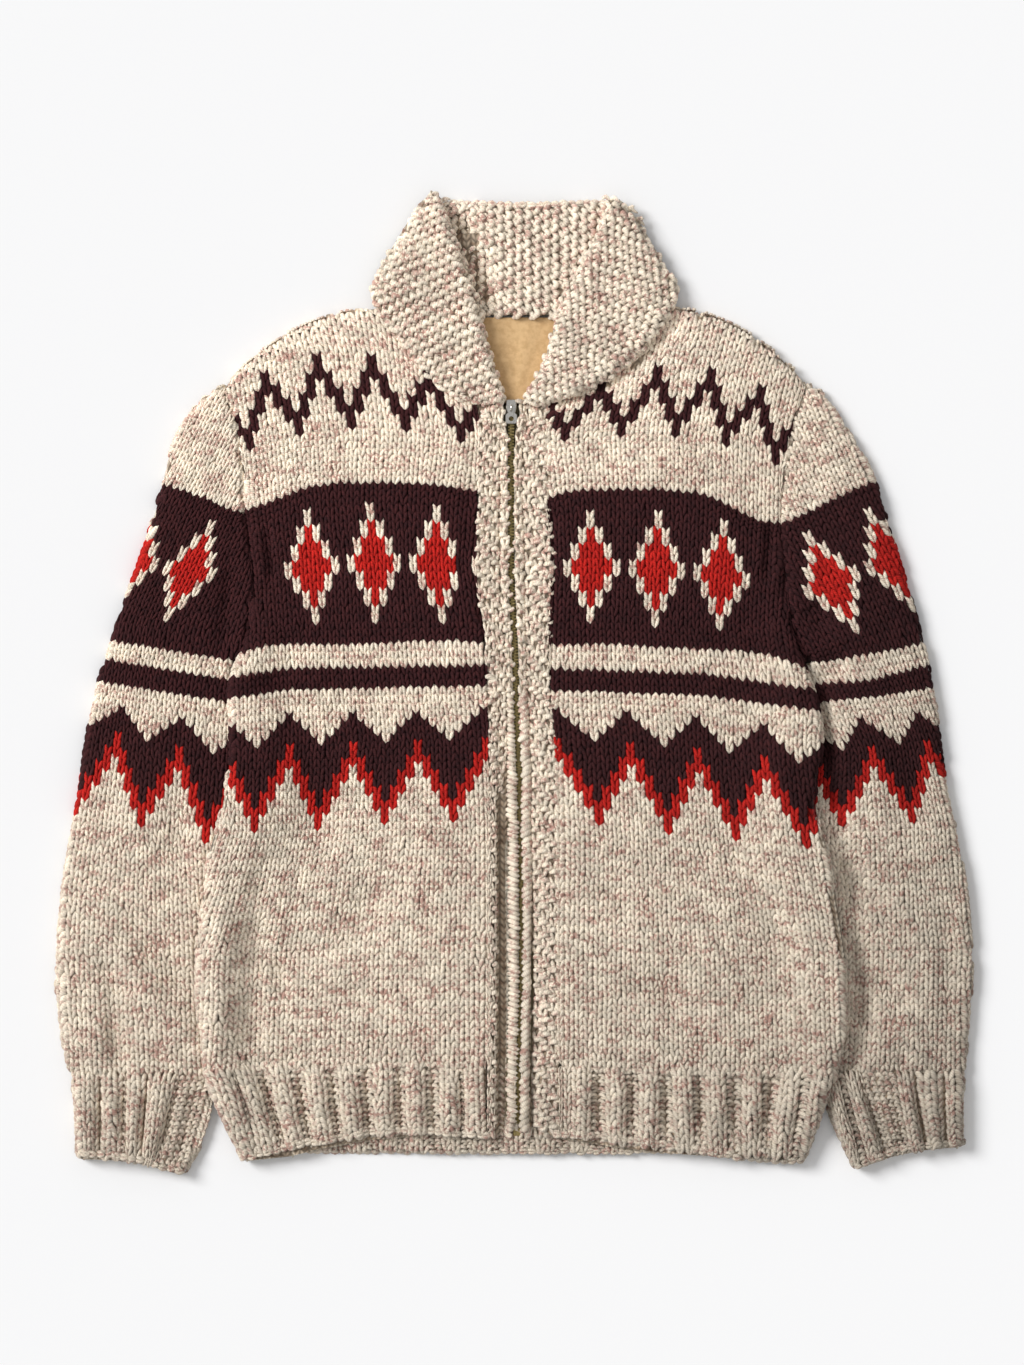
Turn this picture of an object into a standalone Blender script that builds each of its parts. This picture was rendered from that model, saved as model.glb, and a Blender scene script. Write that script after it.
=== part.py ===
"""Hand-knitted zip cardigan with a shawl collar, laid flat with its front up.

Frame: metres, +Z up, the garment lies on the plane z = 0 with its collar towards +Y.
Left and right are the wearer's, so the left side of the garment is at +X.
All sizes below are millimetres. Each knitted piece is a wall with its own thickness, built
from short tables of stations; what lies on a piece is built from the same points, moved up.
"""
import math
from collections import namedtuple

import bmesh
import bpy
import numpy as np
from mathutils import Vector

for old in list(bpy.data.objects):
    bpy.data.objects.remove(old, do_unlink=True)

MM = 0.001

# Driving dimensions
WALL = 5.0              # thickness of the bulky knit
LAYER_GAP = 0.4         # clearance between two pieces that lie on each other
SEAM = 0.2              # half of the clearance across a seam
TUBE = 2 * WALL + LAYER_GAP     # a sleeve lying flat, two walls
LIFT = TUBE + 0.8       # how far the body rises where it lies over a sleeve
TUCK_MARGIN = 4.0       # the body stays lifted this far past the hidden edge of the sleeve
TUCK_FALL = 26.0        # then comes down to the floor over this distance
LEAST_TUCK = 10.0
SIDE_FOLD = 6.0         # width of the front's edge that turns down past the back's edge
ARMHOLE_FOLD = 1.2      # the same, where the body is sewn to a sleeve
EDGE_ROUND = 2.2        # how far a free edge is rounded in
SEAM_ROUND = 0.9        # how far a sewn edge is rounded in
HALF_COLUMNS = 9        # stations across one half of the body, side to front band
NECK_COLUMNS = 3        # stations across the middle of the back
RIB_HEIGHT = 1.8
RIB_ROOT = 0.32         # half width of a rib at its foot, as a share of the pitch
RIB_CROWN = 0.17        # half width of a rib at its crown
RIB_START = 0.35        # share of the rib height at the seam, where the ribbing starts
TAPE = 0.8              # zip tape
TAPE_HALF = 10.0        # width of one zip tape
TOOTH_HALF = 2.0        # half width of the chain of teeth
TOOTH_TOP = 8.6
ZIP_END_Y = -355.0      # the tapes end here, below the stop's upper edge
LINING = 0.8
LINING_LIFT = 0.3       # the facing lies this far above the back
LINING_COLUMNS = 7
TURNED = WALL - 0.5     # how far a front's folded edge comes down beside the back
TURNED_TOP = 1.0        # and how far its upper corner is rounded down
NECK_FOLDS = (4.6, 3.0, 1.5)    # the shoulder fold dies out towards the neck
UNDER_INSET = 0.6       # a wall's lower edge is rounded by this share of its upper one
EDGE_SHARES = (0.30, 0.72)      # heights of the two points in the middle of a wall's edge
FOLD_LOW = 0.34         # the same, at the fold of a flattened tube
FOLD_HIGH = 0.74
FOLD_ROUND = 3.4        # how far a tube's upper face starts from its fold
FOLD_ROUND_UNDER = 2.6
FOLD_DROP = 0.9         # the upper face is this much lower where it starts
SLIT_END = 0.6          # the slit inside a tube ends this far past the wall
DEEPEST_FOLD = -2.6
HIGHEST_FOLD = 3.2

BodyRow = namedtuple(
    "BodyRow", "right_x right_y right_tuck inner_right_x inner_right_y "
    "inner_left_x inner_left_y left_tuck left_x left_y lift bow")

# Shoulder line to hem seam. The first ten rows end at the armholes, the others at the free
# sides. The inner points follow the neckline and then the front bands.
BODY_ROWS = [BodyRow(*row) for row in (
    (-233.5, 236.0, 0.0, -75.0, 293.5, 81.5, 293.5, 0.0, 235.0, 239.0, 0.0, 27.0),
    (-227.0, 218.5, 0.0, -61.0, 270.5, 73.5, 270.5, 0.0, 227.0, 217.0, 0.0, 19.0),
    (-222.5, 197.5, 0.0, -47.0, 249.0, 56.0, 249.0, 0.0, 221.0, 194.5, 0.0, 15.0),
    (-219.0, 176.0, 0.0, -30.5, 228.0, 28.0, 228.0, 0.0, 217.5, 173.5, 0.0, 11.0),
    (-217.5, 154.5, 0.0, -28.6, 201.0, 25.6, 201.0, 0.0, 216.0, 153.0, 0.0, 8.0),
    (-216.0, 130.5, 0.0, -28.8, 172.0, 25.6, 172.0, 0.0, 215.0, 130.5, 0.0, 5.0),
    (-213.5, 106.5, 0.0, -29.5, 140.0, 27.6, 140.0, 0.0, 216.0, 106.5, 0.0, 3.0),
    (-211.0, 82.5, 0.0, -31.4, 108.0, 30.7, 108.0, 0.0, 217.5, 82.5, 0.0, 1.0),
    (-211.0, 58.5, 0.0, -30.0, 74.5, 30.6, 74.5, 0.0, 220.0, 58.5, 0.26, 0.0),
    (-213.0, 36.0, 0.0, -24.8, 42.5, 28.6, 42.5, 0.0, 223.0, 36.0, 0.62, 0.0),
    (-225.0, 9.5, 0.0, -21.6, 9.5, 28.1, 9.5, 0.0, 234.5, 9.5, 1.0, 0.0),
    (-229.0, -18.5, 19.2, -21.6, -18.5, 30.3, -18.5, 16.8, 243.0, -18.5, 1.0, 0.0),
    (-227.0, -47.0, 30.4, -21.6, -47.0, 33.3, -47.0, 28.8, 246.5, -47.0, 1.0, 0.0),
    (-229.5, -76.0, 36.0, -21.6, -76.0, 34.4, -76.0, 33.6, 243.0, -76.0, 1.0, 0.0),
    (-234.5, -105.5, 37.6, -21.6, -105.5, 34.7, -105.5, 34.4, 241.0, -104.0, 1.0, 0.0),
    (-243.0, -133.5, 36.8, -21.6, -133.5, 35.0, -133.5, 37.6, 251.0, -133.5, 1.0, 0.0),
    (-248.0, -165.5, 32.8, -21.6, -165.5, 35.2, -165.5, 34.4, 256.0, -165.5, 1.0, 0.0),
    (-251.0, -197.5, 28.8, -21.6, -197.5, 35.2, -197.5, 30.4, 261.5, -197.5, 1.0, 0.0),
    (-253.5, -229.5, 24.8, -21.6, -229.5, 35.5, -229.5, 26.4, 265.5, -229.5, 1.0, 0.0),
    (-253.0, -261.5, 19.2, -21.6, -261.5, 35.8, -261.5, 23.2, 265.5, -261.5, 1.0, 0.0),
    (-249.5, -287.0, 13.6, -21.6, -284.0, 36.0, -284.0, 19.2, 263.0, -285.5, 1.0, 0.0),
    (-247.0, -309.0, 9.6, -21.6, -302.5, 36.0, -306.5, 10.4, 257.5, -312.0, 1.0, 0.0),
)]
ARMHOLE_ROWS = 10
NECK_OPEN_ROWS = 4      # rows above the top of the front bands

HemRow = namedtuple("HemRow", "side_x side_y inner_x inner_y lift")
HEM_RIGHT_ROWS = [HemRow(*row) for row in (
    (-247.0, -309.0, -21.6, -302.5, 1.0),
    (-239.0, -333.0, -21.6, -322.5, 0.86),
    (-229.0, -356.0, -21.6, -342.5, 0.50),
    (-217.0, -382.5, -21.6, -363.0, 0.05),
)]
HEM_LEFT_ROWS = [HemRow(*row) for row in (
    (257.5, -312.0, 36.0, -306.5, 1.0),
    (247.0, -336.0, 36.0, -325.5, 0.86),
    (239.0, -359.0, 36.0, -345.0, 0.50),
    (230.5, -383.0, 36.0, -364.0, 0.05),
)]
# Lower edge of the back's hem, which shows a little below the fronts.
BACK_HEM_RIGHT_END = HemRow(-221.0, -373.5, -21.6, -375.0, 0.20)
BACK_HEM_LEFT_END = HemRow(234.0, -374.5, 36.0, -375.5, 0.20)
BACK_HEM_FINE = 56.0    # the back's hem has the fronts' stations this far from its side
BACK_HEM_SKIP = 7       # and one in this many of them past that
HEM_TURNED_TOP = 1.2
HEM_EDGE_BOW = {"right": 6.0, "left": -4.0}

RibSet = namedtuple("RibSet", "count first pitch")   # shares of the width, inner edge to side
HEM_RIBS = {"right": RibSet(9, 0.046, 0.119), "left": RibSet(8, 0.090, 0.130)}
CUFF_RIBS = {"right": RibSet(6, 0.07, 0.172), "left": RibSet(6, 0.07, 0.172)}

TubeRow = namedtuple("TubeRow", "outer_x outer_y inner_x inner_y")
# Sleeves, armhole to cuff seam: the outer fold and the underarm fold of the flattened tube.
SLEEVE_RIGHT_ROWS = [TubeRow(*row) for row in (
    (-254.5, 220.0, -219.0, 25.0),
    (-267.0, 204.0, -223.0, 17.0),
    (-277.0, 180.0, -225.5, 12.0),
    (-283.0, 154.5, -227.0, 8.0),
    (-289.0, 130.5, -221.0, -1.0),
    (-297.5, 108.0, -213.0, -15.0),
    (-306.5, 81.0, -205.0, -29.5),
    (-316.0, 53.5, -198.5, -45.5),
    (-325.0, 26.5, -194.5, -63.0),
    (-333.5, -1.0, -193.5, -82.5),
    (-340.0, -31.0, -196.0, -101.5),
    (-345.0, -63.0, -201.5, -121.0),
    (-349.5, -95.0, -208.0, -143.0),
    (-356.0, -130.5, -214.5, -169.0),
    (-361.5, -165.5, -221.0, -196.0),
    (-365.5, -201.5, -227.0, -223.0),
    (-366.5, -233.5, -231.0, -249.5),
    (-365.0, -263.0, -234.5, -273.5),
    (-360.0, -293.5, -237.5, -293.5),
    (-354.5, -311.0, -240.0, -313.0),
)]
SLEEVE_LEFT_ROWS = [TubeRow(*row) for row in (
    (251.0, 225.0, 229.0, 25.0),
    (263.0, 207.0, 233.0, 17.0),
    (274.5, 189.0, 235.5, 12.0),
    (283.0, 173.5, 237.0, 8.0),
    (290.5, 156.0, 232.0, -2.5),
    (297.0, 132.0, 225.0, -17.0),
    (305.0, 109.5, 218.5, -33.0),
    (314.5, 79.0, 213.0, -49.5),
    (322.5, 52.0, 209.5, -66.5),
    (329.5, 23.0, 208.0, -84.0),
    (336.0, -5.5, 207.0, -101.5),
    (340.0, -37.5, 209.5, -121.0),
    (344.0, -69.5, 213.5, -141.5),
    (350.5, -103.0, 219.0, -165.5),
    (357.0, -135.0, 226.5, -191.0),
    (362.5, -167.0, 233.5, -218.5),
    (365.5, -201.5, 239.0, -244.0),
    (366.5, -237.5, 243.0, -268.0),
    (364.0, -276.0, 245.5, -289.0),
    (360.0, -309.5, 248.0, -311.0),
)]
CUFF_RIGHT_ROWS = [TubeRow(*row) for row in (
    (-354.4, -311.5, -240.1, -313.5),
    (-352.0, -333.5, -242.5, -340.0),
    (-350.5, -357.5, -249.0, -365.5),
    (-349.0, -380.0, -264.0, -393.0),
)]
CUFF_LEFT_ROWS = [TubeRow(*row) for row in (
    (359.9, -310.0, 248.1, -311.5),
    (359.0, -333.5, 252.0, -340.0),
    (359.0, -353.0, 261.0, -362.5),
    (359.0, -370.5, 272.0, -388.0),
)]
SLEEVE_CROWN = 2.2      # how far the upper wall of a sleeve stands up in its middle
CROWN_SHARE = 0.65      # the crown ends at this share of the width, before the hidden strip
BOW_FADE = (1.0, 0.82, 0.64, 0.46, 0.3, 0.15)   # how the armhole's curve dies out
CUFF_CROWN = 1.0
CROWN_ROWS = 5          # rows over which the crown grows, and dies out again
CUFF_EDGE_BOW = 4.0
CUFF_BULGE = 1.2        # the cuff's free edge is rounded out by this much

BandRow = namedtuple("BandRow", "y right_edge zip_x left_edge")
BAND_ROWS = [BandRow(*row) for row in (
    (222.5, -8.0, -2.0, 4.0),
    (205.5, -8.0, -2.2, 3.8),
    (201.0, -4.8, -2.4, 0.0),
    (172.0, -4.8, -2.4, 0.0),
    (146.5, -4.4, -2.4, 0.0),
    (118.5, -4.4, -2.4, 0.0),
    (89.0, -4.4, -2.4, 0.0),
    (53.5, -2.8, -0.8, 1.6),
    (27.0, -1.2, 0.8, 3.2),
    (-5.5, -0.4, 1.6, 4.0),
    (-42.5, 0.8, 2.8, 5.2),
    (-77.5, 2.4, 4.4, 6.8),
    (-117.5, 3.2, 4.8, 6.4),
    (-157.5, 4.0, 5.6, 7.2),
    (-195.0, 4.4, 6.0, 7.6),
    (-247.0, 4.0, 5.6, 7.2),
    (-281.5, 2.8, 4.4, 6.0),
    (-313.5, 2.0, 3.6, 5.2),
    (-353.0, 1.6, 3.2, 4.8),
    (-356.0, -2.0, 3.2, 8.4),
    (-363.0, -2.0, 3.2, 8.4),
)]
# Across a band, seam to zip: share of the width, underside above the back, top above it.
BandColumn = namedtuple("BandColumn", "share under over")
BAND_COLUMNS = [BandColumn(*row) for row in (
    (0.00, 0.4, 5.4),
    (0.22, 0.4, 6.2),
    (0.44, 0.4, 6.0),
    (0.60, 1.8, 5.6),
    (0.72, 1.8, 4.8),
    (0.86, 3.9, 7.8),
    (1.00, 3.9, 7.2),
)]

CollarRow = namedtuple("CollarRow", "y right_x left_x")
COLLAR_BACK_ROWS = [CollarRow(*row) for row in (
    (294.2, -72.0, 79.0),
    (306.0, -101.0, 116.0),
    (316.0, -101.0, 117.0),
    (334.5, -94.0, 111.0),
    (354.5, -84.0, 100.0),
    (372.0, -71.0, 86.5),
    (384.0, -58.0, 74.0),
)]
LapelRow = namedtuple("LapelRow", "outer_x outer_y fold_x fold_y over_collar droop")
# A lapel, from the top of the collar down to the zip: its free edge and its inner fold.
LAPEL_RIGHT_ROWS = [LapelRow(*row) for row in (
    (-67.0, 393.36, -58.5, 387.0, 1, 0.6),
    (-84.0, 373.0, -51.0, 365.5, 1, 1.0),
    (-102.5, 341.5, -41.5, 341.5, 1, 1.0),
    (-116.0, 320.0, -33.0, 320.0, 1, 1.0),
    (-107.0, 292.5, -25.0, 292.5, 1, 0.0),
    (-98.5, 285.5, -22.5, 279.0, 0, 0.0),
    (-85.5, 266.5, -18.5, 266.5, 0, 0.0),
    (-69.5, 249.5, -14.5, 252.0, 0, 0.0),
    (-54.5, 235.0, -10.5, 239.0, 0, 0.0),
    (-40.0, 226.5, -8.0, 231.0, 0, 0.0),
    (-27.0, 223.5, -6.5, 224.5, 0, 0.0),
)]
LAPEL_LEFT_ROWS = [LapelRow(*row) for row in (
    (85.0, 386.5, 73.5, 387.0, 1, 0.6),
    (98.5, 372.0, 70.5, 369.0, 1, 1.0),
    (112.0, 351.0, 61.5, 351.0, 1, 1.0),
    (124.0, 330.5, 49.5, 330.5, 1, 1.0),
    (132.0, 313.5, 39.0, 313.0, 1, 0.5),
    (123.0, 292.5, 33.5, 292.5, 1, 0.0),
    (113.0, 278.5, 29.5, 279.0, 0, 0.0),
    (97.0, 263.0, 25.0, 263.0, 0, 0.0),
    (78.5, 247.0, 19.0, 249.5, 0, 0.0),
    (57.0, 236.0, 13.0, 237.0, 0, 0.0),
    (33.5, 226.0, 7.0, 227.5, 0, 0.0),
    (21.0, 223.3, 4.5, 224.5, 0, 0.0),
)]
# Across a lapel, free edge to inner fold: share of the width, top, underside over the collar
# stand, and underside beside the neckline, all above the floor.
LapelColumn = namedtuple("LapelColumn", "share top under_stand under_neck")
LAPEL_COLUMNS = [LapelColumn(*row) for row in (
    (0.00, 14.6, 10.9, 10.9),
    (0.10, 15.8, 10.9, 10.9),
    (0.27, 16.4, 10.9, 10.9),
    (0.46, 16.8, 10.9, 10.9),
    (0.63, 17.4, 10.9, 6.6),
    (0.80, 18.0, 10.9, 6.6),
    (0.93, 17.2, 10.9, 6.6),
    (1.00, 15.4, 10.9, 6.9),
)]
LAPEL_FLOOR = 10.9      # height of what the lapels lie on
LAPEL_DROOP = 7.0       # the free edge hangs this far past the collar stand, towards the floor
LAPEL_EDGE_DROPS = np.array((0.7, 0.2))     # share of it at the two outer columns
LAPEL_TOP_END = (0.70, 0.15)    # thickness of a lapel's ends: share, and its gain a row
LAPEL_LOW_END = (0.60, 0.12)
COLLAR_COLUMNS = 9
COLLAR_EDGE_DROP = 1.4

LiningRow = namedtuple("LiningRow", "y right_x left_x")
LINING_ROWS = [LiningRow(*row) for row in (
    (292.8, -37.0, 46.5),
    (270.5, -29.0, 41.5),
    (249.0, -22.5, 33.5),
    (229.5, -12.0, 17.0),
    (224.0, -6.5, 5.0),
)]

# Soft folds that stay in the laid-out knit: centre line, half width, height (a trough is < 0).
Fold = namedtuple("Fold", "x0 y0 x1 y1 half_width height")
FOLDS = [Fold(*row) for row in (
    (-319.0, -141.0, -259.0, -233.0, 16.0, -2.4),
    (-343.0, -201.0, -266.0, -286.0, 18.0, 2.6),
    (-319.0, -246.0, -315.0, -302.0, 13.0, -2.0),
    (-191.0, -205.0, -187.0, -254.0, 12.0, -1.8),
    (-107.0, -165.0, -155.0, -218.0, 18.0, -1.5),
    (-45.0, -117.0, -54.0, -278.0, 15.0, 2.0),
    (73.0, -157.0, 90.0, -182.0, 14.0, -1.6),
    (113.0, -225.0, 134.0, -270.0, 15.0, -2.4),
    (46.0, -117.0, 50.0, -285.0, 11.0, 1.6),
    (-214.0, 44.0, -196.0, 86.0, 14.0, -2.2),
    (221.0, 12.0, 204.0, 66.0, 14.0, -2.2),
    (-300.0, 20.0, -262.0, -60.0, 22.0, 1.8),
    (318.0, -180.0, 296.0, -250.0, 20.0, -1.8),
)]

# Slider and pull tab
SLIDER_TOP_Y = 226.6
SLIDER_END_Y = 216.2
SLIDER_HALF = 4.3
SLIDER_PLATE = 8.9      # underside of the slider's upper plate
SLIDER_FACE = 10.4
FLANGE_FOOT = 6.8
FLANGE_INNER = 2.5
HINGE_Y = 220.2
HINGE_Z = 11.3
BAIL_RADIUS = 2.2
BAIL_WIRE = 0.7
PULL_THICK = 1.2
PULL_HALF = 4.5
PULL_END_Y = 207.6
PULL_SHOULDER_Y = 216.0
PULL_HOLE_Y = 211.4
PULL_HOLE = 2.0
EYE_HOLE = 1.05
EYE_HALF = 2.0
ZIP_X = -2.2            # centre of the zip at the slider
PLATE_CHAMFER = 0.5
PLATE_BEVEL = 0.7
STOP_SIZE = (8.0, 6.4, 3.4)
STOP_BEVEL = 0.6
STOP_CENTRE = (3.2, -359.4, WALL + 0.3 + 1.7)

Paint = namedtuple("Paint", "red green blue roughness metallic")
PAINTS = {
    "oatmeal_wool": Paint(0.72, 0.62, 0.50, 0.92, 0.0),
    "tan_cotton": Paint(0.73, 0.48, 0.23, 0.85, 0.0),
    "zip_tape": Paint(0.42, 0.36, 0.26, 0.85, 0.0),
    "zip_metal": Paint(0.60, 0.58, 0.53, 0.35, 1.0),
    "brass": Paint(0.55, 0.42, 0.20, 0.40, 1.0),
}


def material(name):
    """Principled material of one finish, with the paint's colour."""
    found = bpy.data.materials.get(name)
    if found:
        return found
    paint = PAINTS[name]
    made = bpy.data.materials.new(name)
    made.use_nodes = True
    shader = made.node_tree.nodes["Principled BSDF"]
    shader.inputs["Base Color"].default_value = (paint.red, paint.green, paint.blue, 1.0)
    shader.inputs["Roughness"].default_value = paint.roughness
    shader.inputs["Metallic"].default_value = paint.metallic
    return made


garment = bpy.data.collections.new("cardigan")
cutters = bpy.data.collections.new("cutters")
for group in (garment, cutters):
    bpy.context.scene.collection.children.link(group)


def own_material(node, finish):
    """A copy of the finish that belongs to this node alone."""
    made = material(finish).copy()
    made.name = node + "_" + finish
    return made


def solid(name, points, faces, finish):
    """One closed body from points in millimetres and its faces, with its normals outward."""
    mesh = bpy.data.meshes.new(name)
    bm = bmesh.new()
    verts = [bm.verts.new(Vector(point) * MM) for point in points]
    for face in faces:
        bm.faces.new([verts[i] for i in face])
    bmesh.ops.recalc_face_normals(bm, faces=bm.faces)
    bm.to_mesh(mesh)
    bm.free()
    mesh.shade_smooth()
    mesh.set_sharp_from_angle(angle=math.radians(50))
    mesh.materials.append(own_material(name, finish))
    made = bpy.data.objects.new(name, mesh)
    garment.objects.link(made)
    return made


def ring_indices(rows, columns):
    """Row and column of each boundary point of a net, once round."""
    ring = [(0, c) for c in range(columns)]
    ring += [(r, columns - 1) for r in range(1, rows)]
    ring += [(rows - 1, c) for c in range(columns - 2, -1, -1)]
    ring += [(r, 0) for r in range(rows - 2, 0, -1)]
    return ring


def inset_net(net, insets):
    """The net with its boundary drawn in: insets are first row, last row, first, last column."""
    drawn = net.copy()
    top, bottom, first, last = insets

    def draw(edge, inner, amount):
        step = inner - edge
        length = np.maximum(np.linalg.norm(step, axis=-1, keepdims=True), 1e-6)
        return edge + step / length * np.minimum(amount, 0.45 * length)

    drawn[0] = draw(drawn[0], net[1], top)
    drawn[-1] = draw(drawn[-1], net[-2], bottom)
    moved = drawn.copy()
    drawn[:, 0] = draw(moved[:, 0], moved[:, 1], first)
    drawn[:, -1] = draw(moved[:, -1], moved[:, -2], last)
    return drawn


def wall(name, net, top_z, under_z, insets, finish, under_net=None):
    """A cloth wall between two nets of heights, with its edges rounded all round.

    net and under_net hold the plan positions of the upper and lower points, rows by columns.
    """
    rows, columns = top_z.shape
    under_net = net if under_net is None else under_net
    top_xy = inset_net(net, insets)
    under_xy = inset_net(under_net, [UNDER_INSET * value for value in insets])
    ring = ring_indices(rows, columns)
    count = rows * columns
    points = [(*top_xy[r, c], top_z[r, c]) for r in range(rows) for c in range(columns)]
    points += [(*under_xy[r, c], under_z[r, c]) for r in range(rows) for c in range(columns)]
    faces = []
    for r in range(rows - 1):
        for c in range(columns - 1):
            a = r * columns + c
            b, d, e = a + 1, a + columns, a + columns + 1
            faces += [(a, b, e), (a, e, d)]
            faces += [(a + count, e + count, b + count), (a + count, d + count, e + count)]
    loops = [[r * columns + c for r, c in ring]]
    for share in reversed(EDGE_SHARES):
        loops.append(list(range(len(points), len(points) + len(ring))))
        for r, c in ring:
            height = under_z[r, c] + share * (top_z[r, c] - under_z[r, c])
            points.append((*net[r, c], height))
    loops.append([r * columns + c + count for r, c in ring])
    size = len(ring)
    for upper, lower in zip(loops, loops[1:]):
        for i in range(size):
            j = (i + 1) % size
            faces += [(upper[i], lower[i], lower[j]), (upper[i], lower[j], upper[j])]
    return solid(name, points, faces, finish)


def relief(xy):
    """Height of the soft folds at plan positions, rows by columns by two."""
    height = np.zeros(xy.shape[:-1])
    for fold in FOLDS:
        start = np.array((fold.x0, fold.y0))
        run = np.array((fold.x1, fold.y1)) - start
        along = ((xy - start) @ run) / (run @ run)
        near = start + np.clip(along, 0.0, 1.0)[..., None] * run
        away = np.linalg.norm(xy - near, axis=-1) / fold.half_width
        height += fold.height * np.where(away < 2.0, 0.5 + 0.5 * np.cos(np.pi * away / 2.0), 0.0)
    return np.clip(height, DEEPEST_FOLD, HIGHEST_FOLD)


def half_distances(width, tuck):
    """Distances from the side edge of the stations across one half of the body."""
    lifted = max(tuck, LEAST_TUCK) + TUCK_MARGIN
    fixed = [0.0, SIDE_FOLD, lifted, lifted + TUCK_FALL]
    rest = np.linspace(fixed[-1], width, HALF_COLUMNS - len(fixed) + 1)[1:]
    return np.array(fixed + list(rest))


def half_points(side, inner, tuck, fold, bow):
    """Plan positions from the side edge to the inner edge of one half row."""
    side, inner = np.array(side), np.array(inner)
    width = np.linalg.norm(inner - side)
    distance = half_distances(width, tuck)
    distance[1] = fold
    share = distance / width
    line = side + np.outer(share, inner - side)
    line[:, 1] += bow * 4.0 * share * (1.0 - share)
    return line


LIFT_SHARES = np.array((1.0, 1.0, 1.0) + (0.0,) * (HALF_COLUMNS - 3))


def body_net(top_side):
    """Net of the whole body, and its lift, rows by columns.

    The upper points keep the full fold width at the sides and the shoulders. The lower
    points, and the back, have the fold line where the back's own edge is.
    """
    rows, lifts = [], []
    for index, row in enumerate(BODY_ROWS):
        sewn = index < ARMHOLE_ROWS - 1
        half_sewn = index == ARMHOLE_ROWS - 1
        fold = SIDE_FOLD
        if not top_side:
            fold = ARMHOLE_FOLD if sewn else (0.5 * SIDE_FOLD if half_sewn else SIDE_FOLD)
        right = half_points((row.right_x, row.right_y), (row.inner_right_x, row.inner_right_y),
                            row.right_tuck, fold, row.bow)
        left = half_points((row.left_x, row.left_y), (row.inner_left_x, row.inner_left_y),
                           row.left_tuck, fold, row.bow)[::-1]
        middle = np.linspace(right[-1], left[0], NECK_COLUMNS + 2)[1:-1]
        rows.append(np.vstack((right, middle, left)))
        lift = LIFT * row.lift * LIFT_SHARES
        lifts.append(np.concatenate((lift, np.zeros(NECK_COLUMNS), lift[::-1])))
    net, lift = np.array(rows), np.array(lifts)
    shoulder = shoulder_folds(net.shape[1], top_side)
    step = net[1] - net[0]
    length = np.linalg.norm(step, axis=-1, keepdims=True)
    fold_row = net[0] + step / length * shoulder[:, None]
    net = np.vstack((net[:1], fold_row[None], net[1:]))
    return net, np.vstack((lift[:1], lift[:1], lift[1:]))


def shoulder_folds(columns, top_side):
    """How far the fold line lies below the shoulder edge, at each column."""
    folds = np.full(columns, SIDE_FOLD)
    if not top_side:
        count = len(NECK_FOLDS)
        folds[HALF_COLUMNS - count:HALF_COLUMNS] = NECK_FOLDS
        folds[HALF_COLUMNS:-HALF_COLUMNS] = NECK_FOLDS[-1]
        folds[-HALF_COLUMNS:columns - HALF_COLUMNS + count] = NECK_FOLDS[::-1]
    return folds


TOP_NET, BODY_LIFT = body_net(True)
FOLD_NET, _ = body_net(False)


def build_back():
    """Back panel: flat on the floor, and lifted over the sleeves at its sides."""
    net = FOLD_NET[1:, 1:-1].copy()
    lift = BODY_LIFT[1:, 1:-1]
    net[-1, :, 1] += SEAM
    wall("back", net, lift + WALL, lift, (1.4, SEAM_ROUND, 1.4, 1.4), "oatmeal_wool")


def build_front(side):
    """A front panel, moved up from the back's points, its outer edge turned down."""
    columns = slice(0, HALF_COLUMNS) if side == "right" else slice(-HALF_COLUMNS, None)
    outer = 0 if side == "right" else -1
    seam = -1 if side == "right" else 0
    net, under = TOP_NET[:, columns].copy(), FOLD_NET[:, columns].copy()
    lift = BODY_LIFT[:, columns]
    inward = -SEAM if side == "right" else SEAM
    for points in (net, under):
        points[:, seam, 0] += inward
        points[-1, :, 1] += SEAM
    top_z = lift + 2 * WALL + LAYER_GAP + relief(net)
    under_z = lift + WALL + LAYER_GAP
    edge_drop = np.full(len(under_z), TURNED)
    edge_drop[1:ARMHOLE_ROWS] = 0.0
    edge_drop[ARMHOLE_ROWS] = 0.4 * TURNED
    under_z[:, outer] -= edge_drop
    shoulder = shoulder_folds(TOP_NET.shape[1], False)[columns]
    least = NECK_FOLDS[-1]
    wrap = np.clip((shoulder - least) / (SIDE_FOLD - least), 0.0, 1.0) * TURNED
    under_z[0] = lift[0] + WALL + LAYER_GAP - wrap
    top_z[:, outer] -= TURNED_TOP
    top_z[0] -= TURNED_TOP
    insets = [EDGE_ROUND, SEAM_ROUND, EDGE_ROUND, SEAM_ROUND]
    if side == "left":
        insets = [EDGE_ROUND, SEAM_ROUND, SEAM_ROUND, EDGE_ROUND]
    wall("front_" + side, net, top_z, under_z, insets, "oatmeal_wool", under)


def hem_lift(row, distance):
    """Height of the hem above the floor, by the distance from its side edge."""
    lifted = LEAST_TUCK + TUCK_MARGIN
    return LIFT * row.lift * np.interp(distance, (lifted, lifted + TUCK_FALL), (1.0, 0.0))


def hem_line(row, distance):
    """Plan positions on one row of a hem at the given distances from its side edge."""
    side = np.array((row.side_x, row.side_y))
    inner = np.array((row.inner_x, row.inner_y))
    width = np.linalg.norm(inner - side)
    return side + np.outer(distance / width, inner - side)


def rib_columns(ribs):
    """Shares of the width where the ribs start, crown and end, with the height there."""
    shares, heights = [0.0], [0.0]
    for index in range(ribs.count):
        centre = ribs.first + index * ribs.pitch
        for offset, height in ((-RIB_ROOT, 0.0), (-RIB_CROWN, 1.0), (RIB_CROWN, 1.0),
                               (RIB_ROOT, 0.0)):
            share = centre + offset * ribs.pitch
            if 0.006 < share < 0.985:
                shares.append(share)
                heights.append(height)
    shares.append(1.0)
    heights.append(heights[-1])
    return np.array(shares), np.array(heights) * RIB_HEIGHT


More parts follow.
